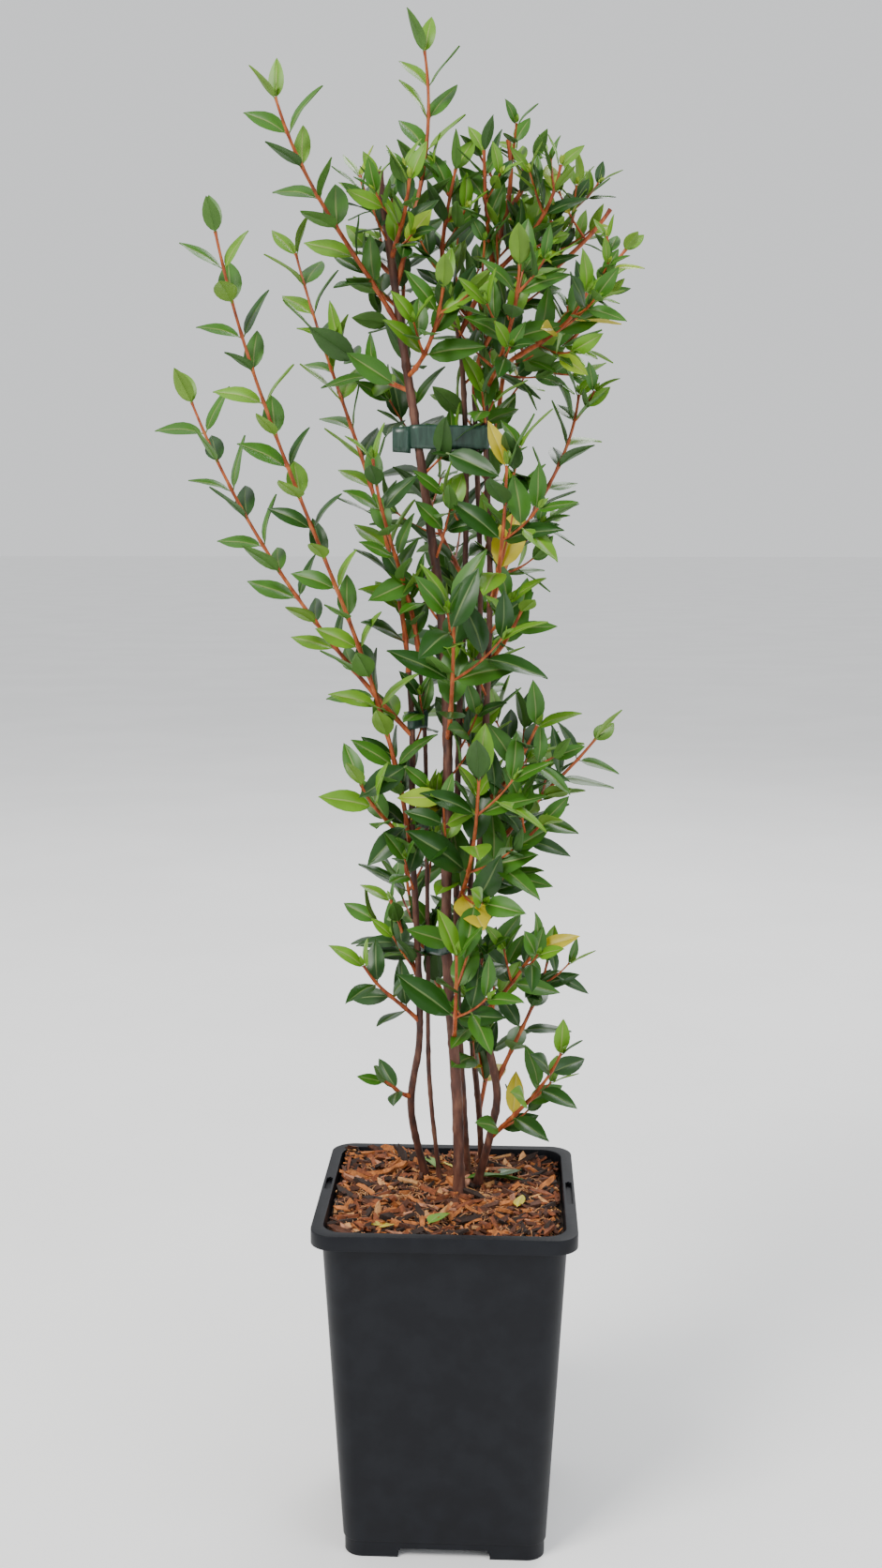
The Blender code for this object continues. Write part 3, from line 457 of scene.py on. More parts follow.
def grained(name, stops, scale, roughness, bump, stretch=(1.0, 1.0, 1.0), specular=0.5):
    """A material with grain in its colour, and a finer grain of height bump in its relief."""
    made = bpy.data.materials.new(name)
    made.use_nodes = True
    tree = made.node_tree
    shader = tree.nodes["Principled BSDF"]
    texture = grain(tree, scale, GRAIN_DETAIL, stretch)
    ramp = colour_from(tree, texture, stops)
    tree.links.new(ramp.outputs["Color"], shader.inputs["Base Color"])
    shader.inputs["Roughness"].default_value = roughness
    shader.inputs["Specular IOR Level"].default_value = specular
    add_bump(tree, shader, grain(tree, scale * FINE_GRAIN, FINE_DETAIL, stretch), bump)
    made.diffuse_color = (*stops[0][1], 1.0)
    return made


def mottled(colour, mottle):
    """Stops of a colour ramp: one colour, darker and lighter by the factors of the mottle."""
    return [(place, tuple(channel * factor for channel in colour)) for place, factor in mottle]


LEAF_MOTTLE = ((0.35, 0.88), (0.65, 1.12))

# Skins of a leaf: upper face, midrib and stalk, underside, with the colours of each tone
LEAF_SKINS = ("leaf", "leaf_vein", "leaf_under")
LEAF_COLOURS = {
    "old": ((0.013, 0.058, 0.005), (0.095, 0.150, 0.045), (0.034, 0.090, 0.016)),
    "middle": ((0.038, 0.132, 0.007), (0.150, 0.215, 0.055), (0.058, 0.145, 0.018)),
    "fresh": ((0.105, 0.250, 0.010), (0.215, 0.290, 0.070), (0.120, 0.235, 0.022)),
    "young": ((0.250, 0.390, 0.016), (0.340, 0.380, 0.090), (0.250, 0.360, 0.030)),
    "yellowed": ((0.460, 0.380, 0.020), (0.500, 0.420, 0.080), (0.420, 0.360, 0.040)),
}
LEAF_ROUGHNESS = (0.42, 0.5, 0.6)
OLD_ROUGHNESS = (0.36, 0.5, 0.6)


def leaf_skins(tone):
    """Materials of one leaf colour: close to one colour each, a little mottled, softly glossy."""
    roughness = OLD_ROUGHNESS if tone == "old" else LEAF_ROUGHNESS
    return [grained(f"{skin}_{tone}", mottled(colour, LEAF_MOTTLE), scale=60.0, roughness=rough,
                    bump=0.03 * MM, specular=0.35)
            for skin, colour, rough in zip(LEAF_SKINS, LEAF_COLOURS[tone], roughness)]


BARK = grained("stem_bark", ((0.30, (0.026, 0.008, 0.005)), (0.52, (0.080, 0.024, 0.013)),
                             (0.74, (0.165, 0.070, 0.040))),
               scale=260.0, roughness=0.62, bump=0.6 * MM, stretch=(1.0, 1.0, 0.28))
YOUNG_BARK = grained("young_bark", ((0.32, (0.170, 0.030, 0.010)), (0.58, (0.380, 0.085, 0.022)),
                                    (0.75, (0.480, 0.170, 0.050))),
                     scale=300.0, roughness=0.5, bump=0.3 * MM, stretch=(1.0, 1.0, 0.3),
                     specular=0.3)
CUT_WOOD = grained("cut_wood", ((0.4, (0.030, 0.018, 0.012)), (0.6, (0.080, 0.050, 0.030))),
                   scale=900.0, roughness=0.8, bump=0.2 * MM)
TAPE = grained("tie_tape", ((0.40, (0.012, 0.036, 0.024)), (0.62, (0.024, 0.066, 0.045))),
               scale=500.0, roughness=0.34, bump=0.12 * MM, stretch=(1.0, 1.0, 0.12), specular=0.6)
PLASTIC = grained("pot_plastic",
                  ((0.40, (0.0060, 0.0066, 0.0090)), (0.62, (0.0080, 0.0090, 0.0120))),
                  scale=70.0, roughness=0.46, bump=0.08 * MM, specular=0.16)
DARK_MIX = grained("potting_mix", ((0.40, (0.010, 0.006, 0.004)), (0.62, (0.045, 0.022, 0.012))),
                   scale=420.0, roughness=0.95, bump=2.0 * MM)
FIBRE_BARK = grained("fibre", ((0.4, (0.20, 0.07, 0.025)), (0.6, (0.48, 0.24, 0.10))),
                     scale=600.0, roughness=0.8, bump=0.2 * MM)
CHIP_COLOURS = {
    "dark": (0.020, 0.008, 0.004),
    "brown": (0.075, 0.023, 0.009),
    "red": (0.190, 0.050, 0.014),
    "orange": (0.390, 0.125, 0.028),
    "tan": (0.520, 0.250, 0.090),
    "pink": (0.380, 0.165, 0.090),
}
CHIP_SHARES = (0.25, 0.25, 0.21, 0.17, 0.08, 0.04)  # of these colours, in their order
CHIP_MOTTLE = ((0.35, 0.6), (0.68, 1.35))
CHIP_SKINS = [grained(f"chip_{tone}", mottled(colour, CHIP_MOTTLE), scale=380.0, roughness=0.85,
                      bump=0.8 * MM, stretch=(1.0, 0.35, 1.0))
              for tone, colour in CHIP_COLOURS.items()]


# Making pieces

class Batch:
    """Faces of one piece, gathered from many small parts, each face with its material's place."""

    def __init__(self):
        self.points = []
        self.faces = []
        self.finishes = []
        self.count = 0

    def add(self, points, faces, finish=0):
        self.points.append(points)
        self.faces.extend([tuple(index + self.count for index in face) for face in faces])
        self.finishes.extend(finish if isinstance(finish, list) else [finish] * len(faces))
        self.count += len(points)

    def build(self, name, materials, slot, crease=LIMB_CREASE):
        mesh = bpy.data.meshes.new(name)
        mesh.from_pydata(np.concatenate(self.points).tolist(), [], self.faces)
        for finish in materials:
            mesh.materials.append(finish)
        mesh.polygons.foreach_set("material_index", self.finishes)
        mesh.polygons.foreach_set("use_smooth", [True] * len(self.faces))
        mesh.set_sharp_from_angle(angle=math.radians(crease))
        mesh.update()
        return show(name, mesh)


def show(name, mesh):
    piece = add_object(name, mesh)
    piece.location = POT_PLACE
    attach(piece, "root")
    return piece


def as_object(bm, name):
    mesh = bpy.data.meshes.new(name)
    bm.to_mesh(mesh)
    bm.free()
    return add_object(name, mesh)


def grid_faces(rows, across, closed=False):
    """Faces of rows of points. Where closed, the last row meets the first."""
    faces = []
    for row in range(rows if closed else rows - 1):
        for step in range(across - 1):
            a = row * across + step
            b = (row + 1) % rows * across + step
            faces.append((a, b, b + 1, a + 1))
    return faces


def stray(most):
    """A random amount, up to `most` either way."""
    return rng.uniform(-most, most)


def plant_point(point):
    """A point of the tables in metres, turned as the plant stands in its pot."""
    return PLANT_TURN @ Vector(point) * MM


# Paths

def smooth_path(stations):
    """Points on a smooth curve through the stations."""
    points = [plant_point(station) for station in stations]
    points = [2 * points[0] - points[1], *points, 2 * points[-1] - points[-2]]
    path = []
    for before, start, end, after in zip(points, points[1:], points[2:], points[3:]):
        count = max(1, round((end - start).length / LIMB_STEP))
        knots = [0.0]
        for one, two in ((before, start), (start, end), (end, after)):
            knots.append(knots[-1] + math.sqrt((two - one).length))
        for index in range(count):
            t = knots[1] + (knots[2] - knots[1]) * index / count
            a = before.lerp(start, (t - knots[0]) / (knots[1] - knots[0]))
            b = start.lerp(end, (t - knots[1]) / (knots[2] - knots[1]))
            c = end.lerp(after, (t - knots[2]) / (knots[3] - knots[2]))
            near = a.lerp(b, (t - knots[0]) / (knots[2] - knots[0]))
            far = b.lerp(c, (t - knots[1]) / (knots[3] - knots[1]))
            path.append(near.lerp(far, (t - knots[1]) / (knots[2] - knots[1])))
    path.append(points[-2])
    return path


def rise(level, degrees):
    """A level direction, raised by an angle."""
    angle = math.radians(degrees)
    return level * math.cos(angle) + Vector((0, 0, math.sin(angle)))


def arc_path(parent, height, tip, leave, arrive):
    """Points on an arc from a limb to a tip, with its first and last angles over the level."""
    start, first = start_on(parent, height)
    tip = plant_point(tip)
    chord = tip - start
    level = Vector((chord.x, chord.y, 0.0)).normalized()
    reach = ARC_REACH * chord.length
    near = start + (first or rise(level, leave)) * reach
    far = tip - rise(level, arrive) * reach
    count = max(ARC_STEPS, round(chord.length / LIMB_STEP))
    path = []
    for index in range(count + 1):
        share = index / count
        rest = 1 - share
        path.append(start * rest ** 3 + near * 3 * rest * rest * share
                    + far * 3 * rest * share * share + tip * share ** 3)
    return path


def lengths(path):
    """Distance from the path's start to each of its points."""
    walked = [0.0]
    for start, end in zip(path, path[1:]):
        walked.append(walked[-1] + (end - start).length)
    return walked


def along_path(path, distance):
    """Point and direction at a distance along a path."""
    for start, end in zip(path, path[1:]):
        length = (end - start).length
        if distance <= length:
            return start.lerp(end, distance / length), (end - start).normalized()
        distance -= length
    return path[-1].copy(), (path[-1] - path[-2]).normalized()


def at_height(path, z):
    """The point of a rising path at a height, or its end."""
    for start, end in zip(path, path[1:]):
        if start.z <= z <= end.z:
            return start.lerp(end, (z - start.z) / (end.z - start.z))
    return path[-1].copy()


def radius_at(limb, z):
    """Radius of a limb at a height, without its flare and nodes."""
    path, foot, tip = limb
    share = min(1.0, max(0.0, (z - path[0].z) / (path[-1].z - path[0].z)))
    return foot + (tip - foot) * share


# Limbs

def tube(batch, path, radii, sides, relief, cap=0):
    """A closed tube along a path, its skin moved in and out by noise drawn out along it."""
    count = len(path)
    rows = []
    side = (path[1] - path[0]).orthogonal().normalized()
    for index, (where, radius) in enumerate(zip(path, radii)):
        ahead = path[min(index + 1, count - 1)]
        behind = path[max(index - 1, 0)]
        along = (ahead - behind).normalized()
        side = (side - along * side.dot(along)).normalized()
        over = along.cross(side)
        for step in range(sides):
            turn = 2 * math.pi * step / sides
            out = side * math.cos(turn) + over * math.sin(turn)
            reach = radius
            if relief:
                seed = out * RELIEF_ROUND + Vector((0, 0, where.z / RELIEF_LENGTH))
                reach *= 1 + relief * noise(seed)
            rows.append(where + out * reach)
    rows.append(path[0])
    rows.append(path[-1])
    faces = []
    for ring in range(count - 1):
        low = ring * sides
        for step in range(sides):
            after = (step + 1) % sides
            faces.append((low + step, low + after, low + sides + after, low + sides + step))
    foot, tip = len(rows) - 2, len(rows) - 1
    last = (count - 1) * sides
    for step in range(sides):
        after = (step + 1) % sides
        faces.append((after, step, foot))
        faces.append((last + step, last + after, tip))
    batch.add(np.array(rows), faces, [0] * last + [0, cap] * sides)


def limb_radii(path, foot, tip, spacing, swell):
    """Radii that taper and swell a little at each node."""
    walked = lengths(path)
    whole = walked[-1]
    radii = []
    for distance in walked:
        near = abs((whole - distance + spacing / 2) % spacing - spacing / 2) / NODE_WIDTH
        radius = foot + (tip - foot) * distance / whole
        radii.append(radius * (1 + swell * math.exp(-near * near)))
    return radii


def grow_stem(name, row):
    foot, tip, stations = row
    path = smooth_path(stations)
    path.insert(0, path[0] - Vector((0, 0, BELOW_SOIL)))
    radii = limb_radii(path, foot * MM, tip * MM, STEM_NODES, STEM_SWELL)
    for index, where in enumerate(path):
        up = max(0.0, where.z - SOIL_TOP)
        radii[index] *= 1 + ROOT_FLARE * math.exp(-up / FLARE_HEIGHT)
    tube(bark_batch, path, radii, *TUBES["stem"], cap=CUT_END)
    limbs[name] = (path, foot * MM, tip * MM)


def start_on(parent, height):
    """Start of a limb inside its parent, and the first direction where it carries on its tip."""
    path = limbs[parent][0]
    if height is TIP:
        return path[-1], (path[-1] - path[-2]).normalized()
    return at_height(path, height * MM), None


def grow_bough(name, row):
    parent, height, tip, leave, arrive, foot, end = row
    path = arc_path(parent, height, tip, leave, arrive)
    radii = limb_radii(path, foot * MM, end * MM, BOUGH_NODES, BOUGH_SWELL)
    tube(bough_batch, path, radii, *TUBES["bough"], cap=CUT_END)
    limbs[name] = (path, foot * MM, end * MM)


# Leaves

def blade_width(u):
    """Width of a blade from 0 at its base to 1 at its point, before it is scaled."""
    return u ** BASE_POWER * (1 - u) ** POINT_POWER


def leaf_points(fold, droop, bend):
    """Points of the upper face and then of the underside, in rows from the stalk to the point."""
    widest = max(blade_width(step / OUTLINE_STEPS) for step in range(OUTLINE_STEPS + 1))
    upper = []
    lower = []
    for u in (-PETIOLE, *LEAF_ROWS):
        on_blade = u > 0
        blade = blade_width(u) / widest if on_blade else 0.0
        half = max(POINT_WIDTH if on_blade else PETIOLE_WIDTH, blade * LEAF_WIDTH / 2)
        for v in LEAF_COLUMNS:
            side = abs(v)
            rib = 0.0
            vein = 0.0
            if on_blade:
                rib = RIB_DEPTH * math.exp(-(v / RIB_WIDTH) ** 2)
                wave = math.cos(2 * math.pi * (VEIN_PAIRS * u - VEIN_SLANT * side))
                vein = VEIN_DEPTH * wave * side * (1 - side)
            z = fold * side ** FOLD_POWER * half * 2 - droop * max(u, 0) ** 2
            z += RIPPLE * math.sin(RIPPLE_ALONG * u + RIPPLE_ACROSS * v) * blade - rib + vein
            y = v * half + bend * max(u, 0) ** 2
            thick = LEAF_THICK * (EDGE_THICK if side == 1 else 1.0)
            ridge = RIB_RIDGE if v == 0 else 0.0
            upper.append((u + PETIOLE, y, z + thick / 2))
            lower.append((u + PETIOLE, y, z - thick / 2 - ridge))
    return np.array(upper + lower)


def leaf_faces():
    """Faces between a leaf's points, and the place of each face's material."""
    across = len(LEAF_COLUMNS)
    rows = len(LEAF_ROWS) + 1
    count = across * rows
    faces = []
    finishes = []
    for row in range(rows - 1):
        for column in range(across - 1):
            a = row * across + column
            quad = (a, a + across, a + across + 1, a + 1)
            middle = abs(LEAF_COLUMNS[column] + LEAF_COLUMNS[column + 1]) / 2
            faces.append(quad[::-1])
            finishes.append(VEIN_SKIN if middle < RIB_WIDTH or row == 0 else UPPER_SKIN)
            faces.append(tuple(index + count for index in quad))
            finishes.append(UNDER_SKIN)
        for column in (0, across - 1):
            a = row * across + column
            edge = (a, a + across, a + across + count, a + count)
            faces.append(edge if column == 0 else edge[::-1])
            finishes.append(UPPER_SKIN)
    return faces, finishes


def place_leaf(root, along, out, length, angle, tone):
    """One leaf on a twig, its upper face turned towards the twig's tip and the light."""
    spread = math.radians(angle)
    forward = (along * math.cos(spread) + out * math.sin(spread)).normalized()
    up = (along - forward * along.dot(forward)).normalized()
    roll = Matrix.Rotation(math.radians(stray(LEAF_ROLL)), 3, forward)
    up = (roll @ up + LIGHT_SIDE * rng.uniform(*LIGHT_PULL)).normalized()
    if root.z + forward.z * length < LOWEST_LEAF:
        return
    form = rng.choice(leaf_forms)
    size = np.array((length, length * rng.uniform(*LEAF_WIDTHS), length))
    if leaf_counts[tone] % LEAVES_IN_PIECE == 0:
        leaf_batches[tone].append(Batch())
    leaf_counts[tone] += 1
    lay_leaf(root, forward, up, size, tone, form)


def lay_leaf(root, forward, up, size, tone, form):
    """Puts one leaf in its colour's piece. `up` is the side of its upper face."""
    up = (up - forward * up.dot(forward)).normalized()
    points, faces, finishes = form
    placed = points * size @ np.array((forward, up.cross(forward), up)) + np.array(root)
    leaf_batches[tone][-1].add(placed, faces, finishes)


def pick_tone(kind, near_tip):
    """A leaf's colour by its shoot's shares. Near the tip most dark leaves are a step younger."""
    tone = rng.choices(range(len(TONES)), TONE_SHARES[kind])[0]
    if near_tip and tone < TONES.index("fresh") and rng.random() < YOUNGER_AT_TIP:
        tone += 1
    return TONES[tone]


def leaf_pairs(path, spacing, length, foot, tip, turn, first, kind):
    """Opposite pairs along a path, each a quarter turn on, smaller towards the tip."""
    whole = lengths(path)[-1]
    count = int((whole - first) / spacing) + 1
    nodes = []
    for index in range(count):
        left_to_go = count - 1 - index
        distance = whole - LAST_PAIR - left_to_go * spacing
        if distance < first:
            continue
        root, along = along_path(path, distance)
        side = along.orthogonal().normalized()
        size = length * TIP_SIZES[min(left_to_go, len(TIP_SIZES) - 1)]
        angle = TIP_LEAF_ANGLE if left_to_go == 0 else LEAF_ANGLES[kind]
        spin = math.radians(turn + 90 * index + stray(PAIR_TWIST))
        out = Matrix.Rotation(spin, 3, along) @ side
        radius = foot + (tip - foot) * distance / whole
        for way in (out, -out):
            tone = pick_tone(kind, left_to_go == 0)
            place_leaf(root + way * radius * LEAF_ROOT, along, way, size * rng.uniform(*PAIR_SIZES),
                       angle + stray(LEAF_ANGLE_SPREAD), tone)
        nodes.append((root, along, out))
    root, along = along_path(path, whole)
    side = Matrix.Rotation(math.radians(turn + 90 * count), 3, along) @ along.orthogonal().normalized()
    tone = "young" if kind == "tip" else "fresh"
    for way in (side, -side):
        place_leaf(root, along, way, length * BUD_SIZE, BUD_ANGLE, tone)
    return nodes


def grow_shoot(name, row):
    parent, height, tip, leave, arrive, length, spacing, twigs, kind = row
    length *= LEAF_GROWTH[kind]
    path = arc_path(parent, height, tip, leave, arrive)
    limbs[name] = (path, SHOOT_FOOT, SHOOT_TIP)
    radii = limb_radii(path, SHOOT_FOOT, SHOOT_TIP, spacing * MM, SHOOT_SWELL)
    tube(shoot_batch, path, radii, *TUBES["shoot"])
    turn = rng.uniform(0, 90)
    nodes = leaf_pairs(path, spacing * MM, length * MM, SHOOT_FOOT, SHOOT_TIP, turn,
                       spacing * FIRST_PAIR * MM, kind)
    chosen = nodes[:-1]
    rng.shuffle(chosen)
    for root, along, out in chosen[:twigs * 2]:
        way = out if rng.random() < 0.5 else -out
        grow_twig(root, along, way, length * MM, spacing * MM, kind)


def grow_twig(root, along, out, length, spacing, kind):
    """A short side twig that bends upwards and carries smaller leaves."""
    reach = spacing * rng.uniform(*TWIG_LENGTHS)
    spread = math.radians(TWIG_ANGLE + stray(TWIG_ANGLE_SPREAD))
    forward = along * math.cos(spread) + out * math.sin(spread)
    bend = (forward + Vector((0, 0, TWIG_LIFT))).normalized()
    middle = root + forward * reach * 0.5
    end = middle + bend * reach * 0.5
    path = []
    for index in range(TWIG_STEPS + 1):
        share = index / TWIG_STEPS
        path.append(root.lerp(middle, share).lerp(middle.lerp(end, share), share))
    radii = limb_radii(path, TWIG_FOOT, TWIG_TIP, spacing * TWIG_SPACING, SHOOT_SWELL)
    tube(shoot_batch, path, radii, *TUBES["twig"])
    leaf_pairs(path, spacing * TWIG_SPACING, length * TWIG_LEAF, TWIG_FOOT, TWIG_TIP, TWIG_TURN,
               spacing * TWIG_FIRST_PAIR, kind)


def dress(name, low, high, spacing, length, kind):
    """Short leafy twigs along a stem or bough between two heights in mm, each turned on."""
    path = limbs[name][0]
    turn = rng.uniform(0, 2 * math.pi)
    height = low
    while height < high:
        where = at_height(path, height * MM)
        turn += math.pi / 2 + stray(DRESS_TURN)
        out = Vector((math.cos(turn), math.sin(turn), 0.0))
        grow_twig(where, Vector((0, 0, 1)), out, length * rng.uniform(*DRESS_LEAVES) * MM,
                  rng.uniform(*DRESS_SPACINGS) * DRESS_SPACING * MM, kind)
        height += spacing * rng.uniform(*DRESS_STEPS)


# Ties

def tie_loop(middle, band, stems):
    """Points of a loop pulled tight round the stems where the tie passes them."""
    around = []
    for stem in stems:
        for part in (-0.5, 0.0, 0.5):
            z = middle + part * band
            where = at_height(limbs[stem][0], z)
            reach = radius_at(limbs[stem], z) * TIE_EASE + TIE_CLEAR
            for step in range(TIE_STEPS):
                turn = step * math.pi / (TIE_STEPS / 2)
                around.append(Vector((where.x + reach * math.cos(turn),
                                      where.y + reach * math.sin(turn))))
    hull = [around[index] for index in convex_hull_2d(around)]
    loop = []
    for start, end in zip(hull, hull[1:] + hull[:1]):
        steps = max(1, round((end - start).length / TAPE_STEP))
        loop.extend(start.lerp(end, step / steps) for step in range(steps))
    return loop


def build_tie(name, row):
    """A flat tape pulled round its stems, a little wavy, with a rolled edge."""
    middle, band, slope, stems = row
    middle *= MM
    band *= MM
    loop = tie_loop(middle, band, stems)
    centre = sum(loop, Vector((0, 0))) / len(loop)
    points = []
    for where in loop:
        out = (where - centre).normalized()
        for index in range(TAPE_ROWS):
            share = index / (TAPE_ROWS - 1) - 0.5
            wave = noise(Vector((where.x * TAPE_WAVE_SCALE, where.y * TAPE_WAVE_SCALE,
                                 share * TAPE_WAVE_ACROSS))) * TAPE_WAVE
            roll = -abs(share * 2) ** TAPE_ROLL_POWER * TAPE_ROLL
            place = where + out * (wave + roll)
            z = middle + share * band + slope * (where.x - centre.x)
            z += noise(Vector((where.x * EDGE_WAVE_SCALE, where.y * EDGE_WAVE_SCALE,
                               share))) * EDGE_WAVE
            points.append((place.x, place.y, z))
    tie_batch.add(np.array(points), grid_faces(len(loop), TAPE_ROWS, closed=True))
    if name == "upper_tie":
        left = min(loop, key=lambda where: where.x)
        add_tail(Vector((left.x, left.y, middle)))


def add_tail(root):
    """The tie's free end: folded back on itself at the left."""
    points = []
    for index, (x, y) in enumerate(TAIL):
        for step in range(TAIL_ROWS):
            share = step / (TAIL_ROWS - 1) - 0.5
            points.append((root.x + x * MM, root.y + y * MM + share * TAIL_CURL * math.sin(index),
                           root.z - TAIL_DROP + share * (TAIL_WIDTH - index * TAIL_TAPER) * MM))
    tie_batch.add(np.array(points), grid_faces(len(TAIL), TAIL_ROWS))


# Pot

def rounded_square(bm, half, radius, z):
    """A level ring of points with rounded corners."""
    ring = []
    for quarter in range(4):
        turn = quarter * math.pi / 2
        middle = Matrix.Rotation(turn, 2) @ Vector((half - radius, half - radius))
        for step in range(CORNER_STEPS + 1):
            angle = turn + step / CORNER_STEPS * math.pi / 2
            ring.append(bm.verts.new((middle.x + radius * math.cos(angle),
                                      middle.y + radius * math.sin(angle), z)))
    return ring


def wall_half(z):
    """Half of the wall's outer width at a height."""
    share = (z - FOOT_BAND) / (POT_HEIGHT - SHEET - FOOT_BAND)
    return (WALL_FOOT + (WALL_TOP - WALL_FOOT) * share) / 2


def rounded_profile(corners):
    """The profile with each corner cut back and bulged into a small round."""
    profile = []
    for before, corner, after in zip(corners[-1:] + corners[:-1], corners,
                                     corners[1:] + corners[:1]):
        corner = Vector(corner)
        back = Vector(before) - corner
        on = Vector(after) - corner
        cut = min(EDGE_ROUND, back.length / 3, on.length / 3)
        start = corner + back.normalized() * cut
        end = corner + on.normalized() * cut
        for share in ROUND_SHARES:
            profile.append(start.lerp(corner, share).lerp(corner.lerp(end, share), share))
    return profile


def box_cutter(name, size, centre):
    bm = bmesh.new()
    bmesh.ops.create_cube(bm, size=1.0)
    bmesh.ops.scale(bm, vec=size, verts=bm.verts)
    bmesh.ops.bevel(bm, geom=list(bm.edges), offset=CUT_ROUND, segments=CUT_SEGMENTS, affect="EDGES")
    bmesh.ops.translate(bm, vec=centre, verts=bm.verts)
    return as_object(bm, name)


def pot_corners():
    """Half width and height of the corners, up the outside and down inside."""
    rim = RIM_WIDTH / 2
    foot = WALL_FOOT / 2 - FOOT_INSET
    under_flat = POT_HEIGHT - SHEET
    return [(foot, 0.0), (foot, FOOT_BAND - FOOT_INSET / 2), (wall_half(FOOT_BAND), FOOT_BAND),
            (wall_half(under_flat), under_flat), (rim - SHEET, under_flat),
            (rim - SHEET, POT_HEIGHT - RIM_BAND), (rim, POT_HEIGHT - RIM_BAND),
            (rim, POT_HEIGHT), (wall_half(under_flat) - SHEET, POT_HEIGHT),
            (wall_half(FLOOR) - SHEET, FLOOR)]


def pot_body():
    """The pot before its slots and the gaps between its feet are cut."""
    bm = bmesh.new()
    rim = RIM_WIDTH / 2
    edge = rim - CORNER
    rings = [rounded_square(bm, half, half - edge * half / rim, z)
             for half, z in rounded_profile(pot_corners())]
    for low, high in zip(rings, rings[1:]):
        count = len(low)
        for index in range(count):
            after = (index + 1) % count
            bm.faces.new((low[index], low[after], high[after], high[index]))
    bm.faces.new(rings[0][::-1])
    bm.faces.new(rings[-1])
    bmesh.ops.recalc_face_normals(bm, faces=bm.faces)
    return as_object(bm, "pot_body")


def pot_cutters():
    across = RIM_WIDTH * CUT_LENGTH
    cutters = [box_cutter("gap_1", (FOOT_GAP, across, FOOT_HEIGHT * 2), Vector()),
               box_cutter("gap_2", (across, FOOT_GAP, FOOT_HEIGHT * 2), Vector())]
    for side, (sign, length, middle) in SLOTS.items():
        cutters.append(box_cutter(f"slot_{side}", (SLOT_WIDTH, length, SLOT_DEPTH * 2),
                                  Vector((sign * SLOT_AT, middle, POT_HEIGHT))))
    return cutters


def cut_mesh(body, cutters):
    """The body's mesh less the cutters. The body and the cutters are removed."""
    for cutter in cutters:
        cut = body.modifiers.new(cutter.name, "BOOLEAN")
        cut.operation = "DIFFERENCE"
        cut.solver = "EXACT"
        cut.object = cutter
    bpy.context.view_layer.update()
    view = bpy.context.evaluated_depsgraph_get()
    made = bpy.data.meshes.new_from_object(body.evaluated_get(view))
    for thing in (*cutters, body):
        bpy.data.objects.remove(thing, do_unlink=True)
    return made


def add_shade_plates(mesh):
    """A dark plate under each slot, between the wall and the rim's outer band, put there as painted
    shade seen through the slot.
    """
    bm = bmesh.new()
    bm.from_mesh(mesh)
    for sign, length, middle in SLOTS.values():
        plate = bmesh.ops.create_cube(bm, size=1.0)["verts"]
        bmesh.ops.scale(bm, vec=(SLOT_WIDTH * SHADE_PLATE_WIDTH, length * SHADE_PLATE_LENGTH, SHEET), verts=plate)
        bmesh.ops.translate(bm, vec=(sign * SLOT_AT, middle, POT_HEIGHT - SLOT_DEPTH), verts=plate)
    bm.to_mesh(mesh)
    bm.free()


def build_pot():
    shell = cut_mesh(pot_body(), pot_cutters())
    # dark plates under the slots: painted shade seen through them
    add_shade_plates(shell)
    shell.materials.clear()
    shell.materials.append(PLASTIC)
    shell.polygons.foreach_set("use_smooth", [True] * len(shell.polygons))
    shell.set_sharp_from_angle(angle=math.radians(POT_CREASE))
    shell.name = "pot_shell"
    return show("pot_shell", shell)


# Bark chips, fibres and fallen leaves on the potting mix

def chip_ground(x, y):
    """Height of the chips at a point of the pot."""
    half = wall_half(SOIL_TOP) - SHEET
    heap = max(0.0, (y - x) / (2 * half)) * HEAP
    return SOIL_TOP + CHIP_BED + heap + BED_BUMP * noise(Vector((x, y, 0)) * BED_BUMP_SCALE)


def chip(length, width, thick):
    """A flat splinter with an irregular outline, a little bowed."""
    corners = []
    for index in range(CHIP_CORNERS):
        turn = 2 * math.pi * (index + stray(CORNER_SHIFT)) / CHIP_CORNERS
        reach = rng.uniform(*CORNER_REACHES)
        corners.append((math.cos(turn) * length / 2 * reach, math.sin(turn) * width / 2 * reach))
    bow = stray(CHIP_BOW) * length
    points = []
    for z in (thick / 2, -thick / 2):
        for x, y in corners:
            uneven = stray(CHIP_UNEVENNESS) * thick
            points.append((x, y, z + bow * (2 * x / length) ** 2 + uneven))
    count = CHIP_CORNERS
    faces = [tuple(range(count)), tuple(range(2 * count - 1, count - 1, -1))]
    for index in range(count):
        after = (index + 1) % count
        faces.append((after, index, index + count, after + count))
    return np.array(points), faces


def scatter_chips():
    """Chips all over the bed. One that would pass the pot's wall is left out."""
    half = wall_half(SOIL_TOP) - SHEET - CHIP_MARGIN
    shortest, longest = CHIP_LENGTHS
    for _ in range(CHIPS):
        x = stray(half)
        y = stray(half)
        size = shortest + (longest - shortest) * rng.random() ** CHIP_SHORTNESS
        width = min(size * rng.uniform(*CHIP_WIDTHS), CHIP_WIDEST)
        points, faces = chip(size, width, max(CHIP_THINNEST, size * rng.uniform(*CHIP_THICKNESSES)))
        tilt = Matrix.Rotation(stray(CHIP_TILT_X), 3, "X")
        tilt = Matrix.Rotation(stray(CHIP_TILT_Y), 3, "Y") @ tilt
        turn = np.array(Matrix.Rotation(rng.uniform(0, 2 * math.pi), 3, "Z") @ tilt)
        z = chip_ground(x, y) + stray(CHIP_RISE) * MM
        placed = points @ turn.T + np.array((x, y, z))
        if np.abs(placed[:, :2]).max() > half + CHIP_PAST:
            continue
        tone = rng.choices(range(len(CHIP_COLOURS)), CHIP_SHARES)[0]
        chip_batch.add(placed, faces, tone)


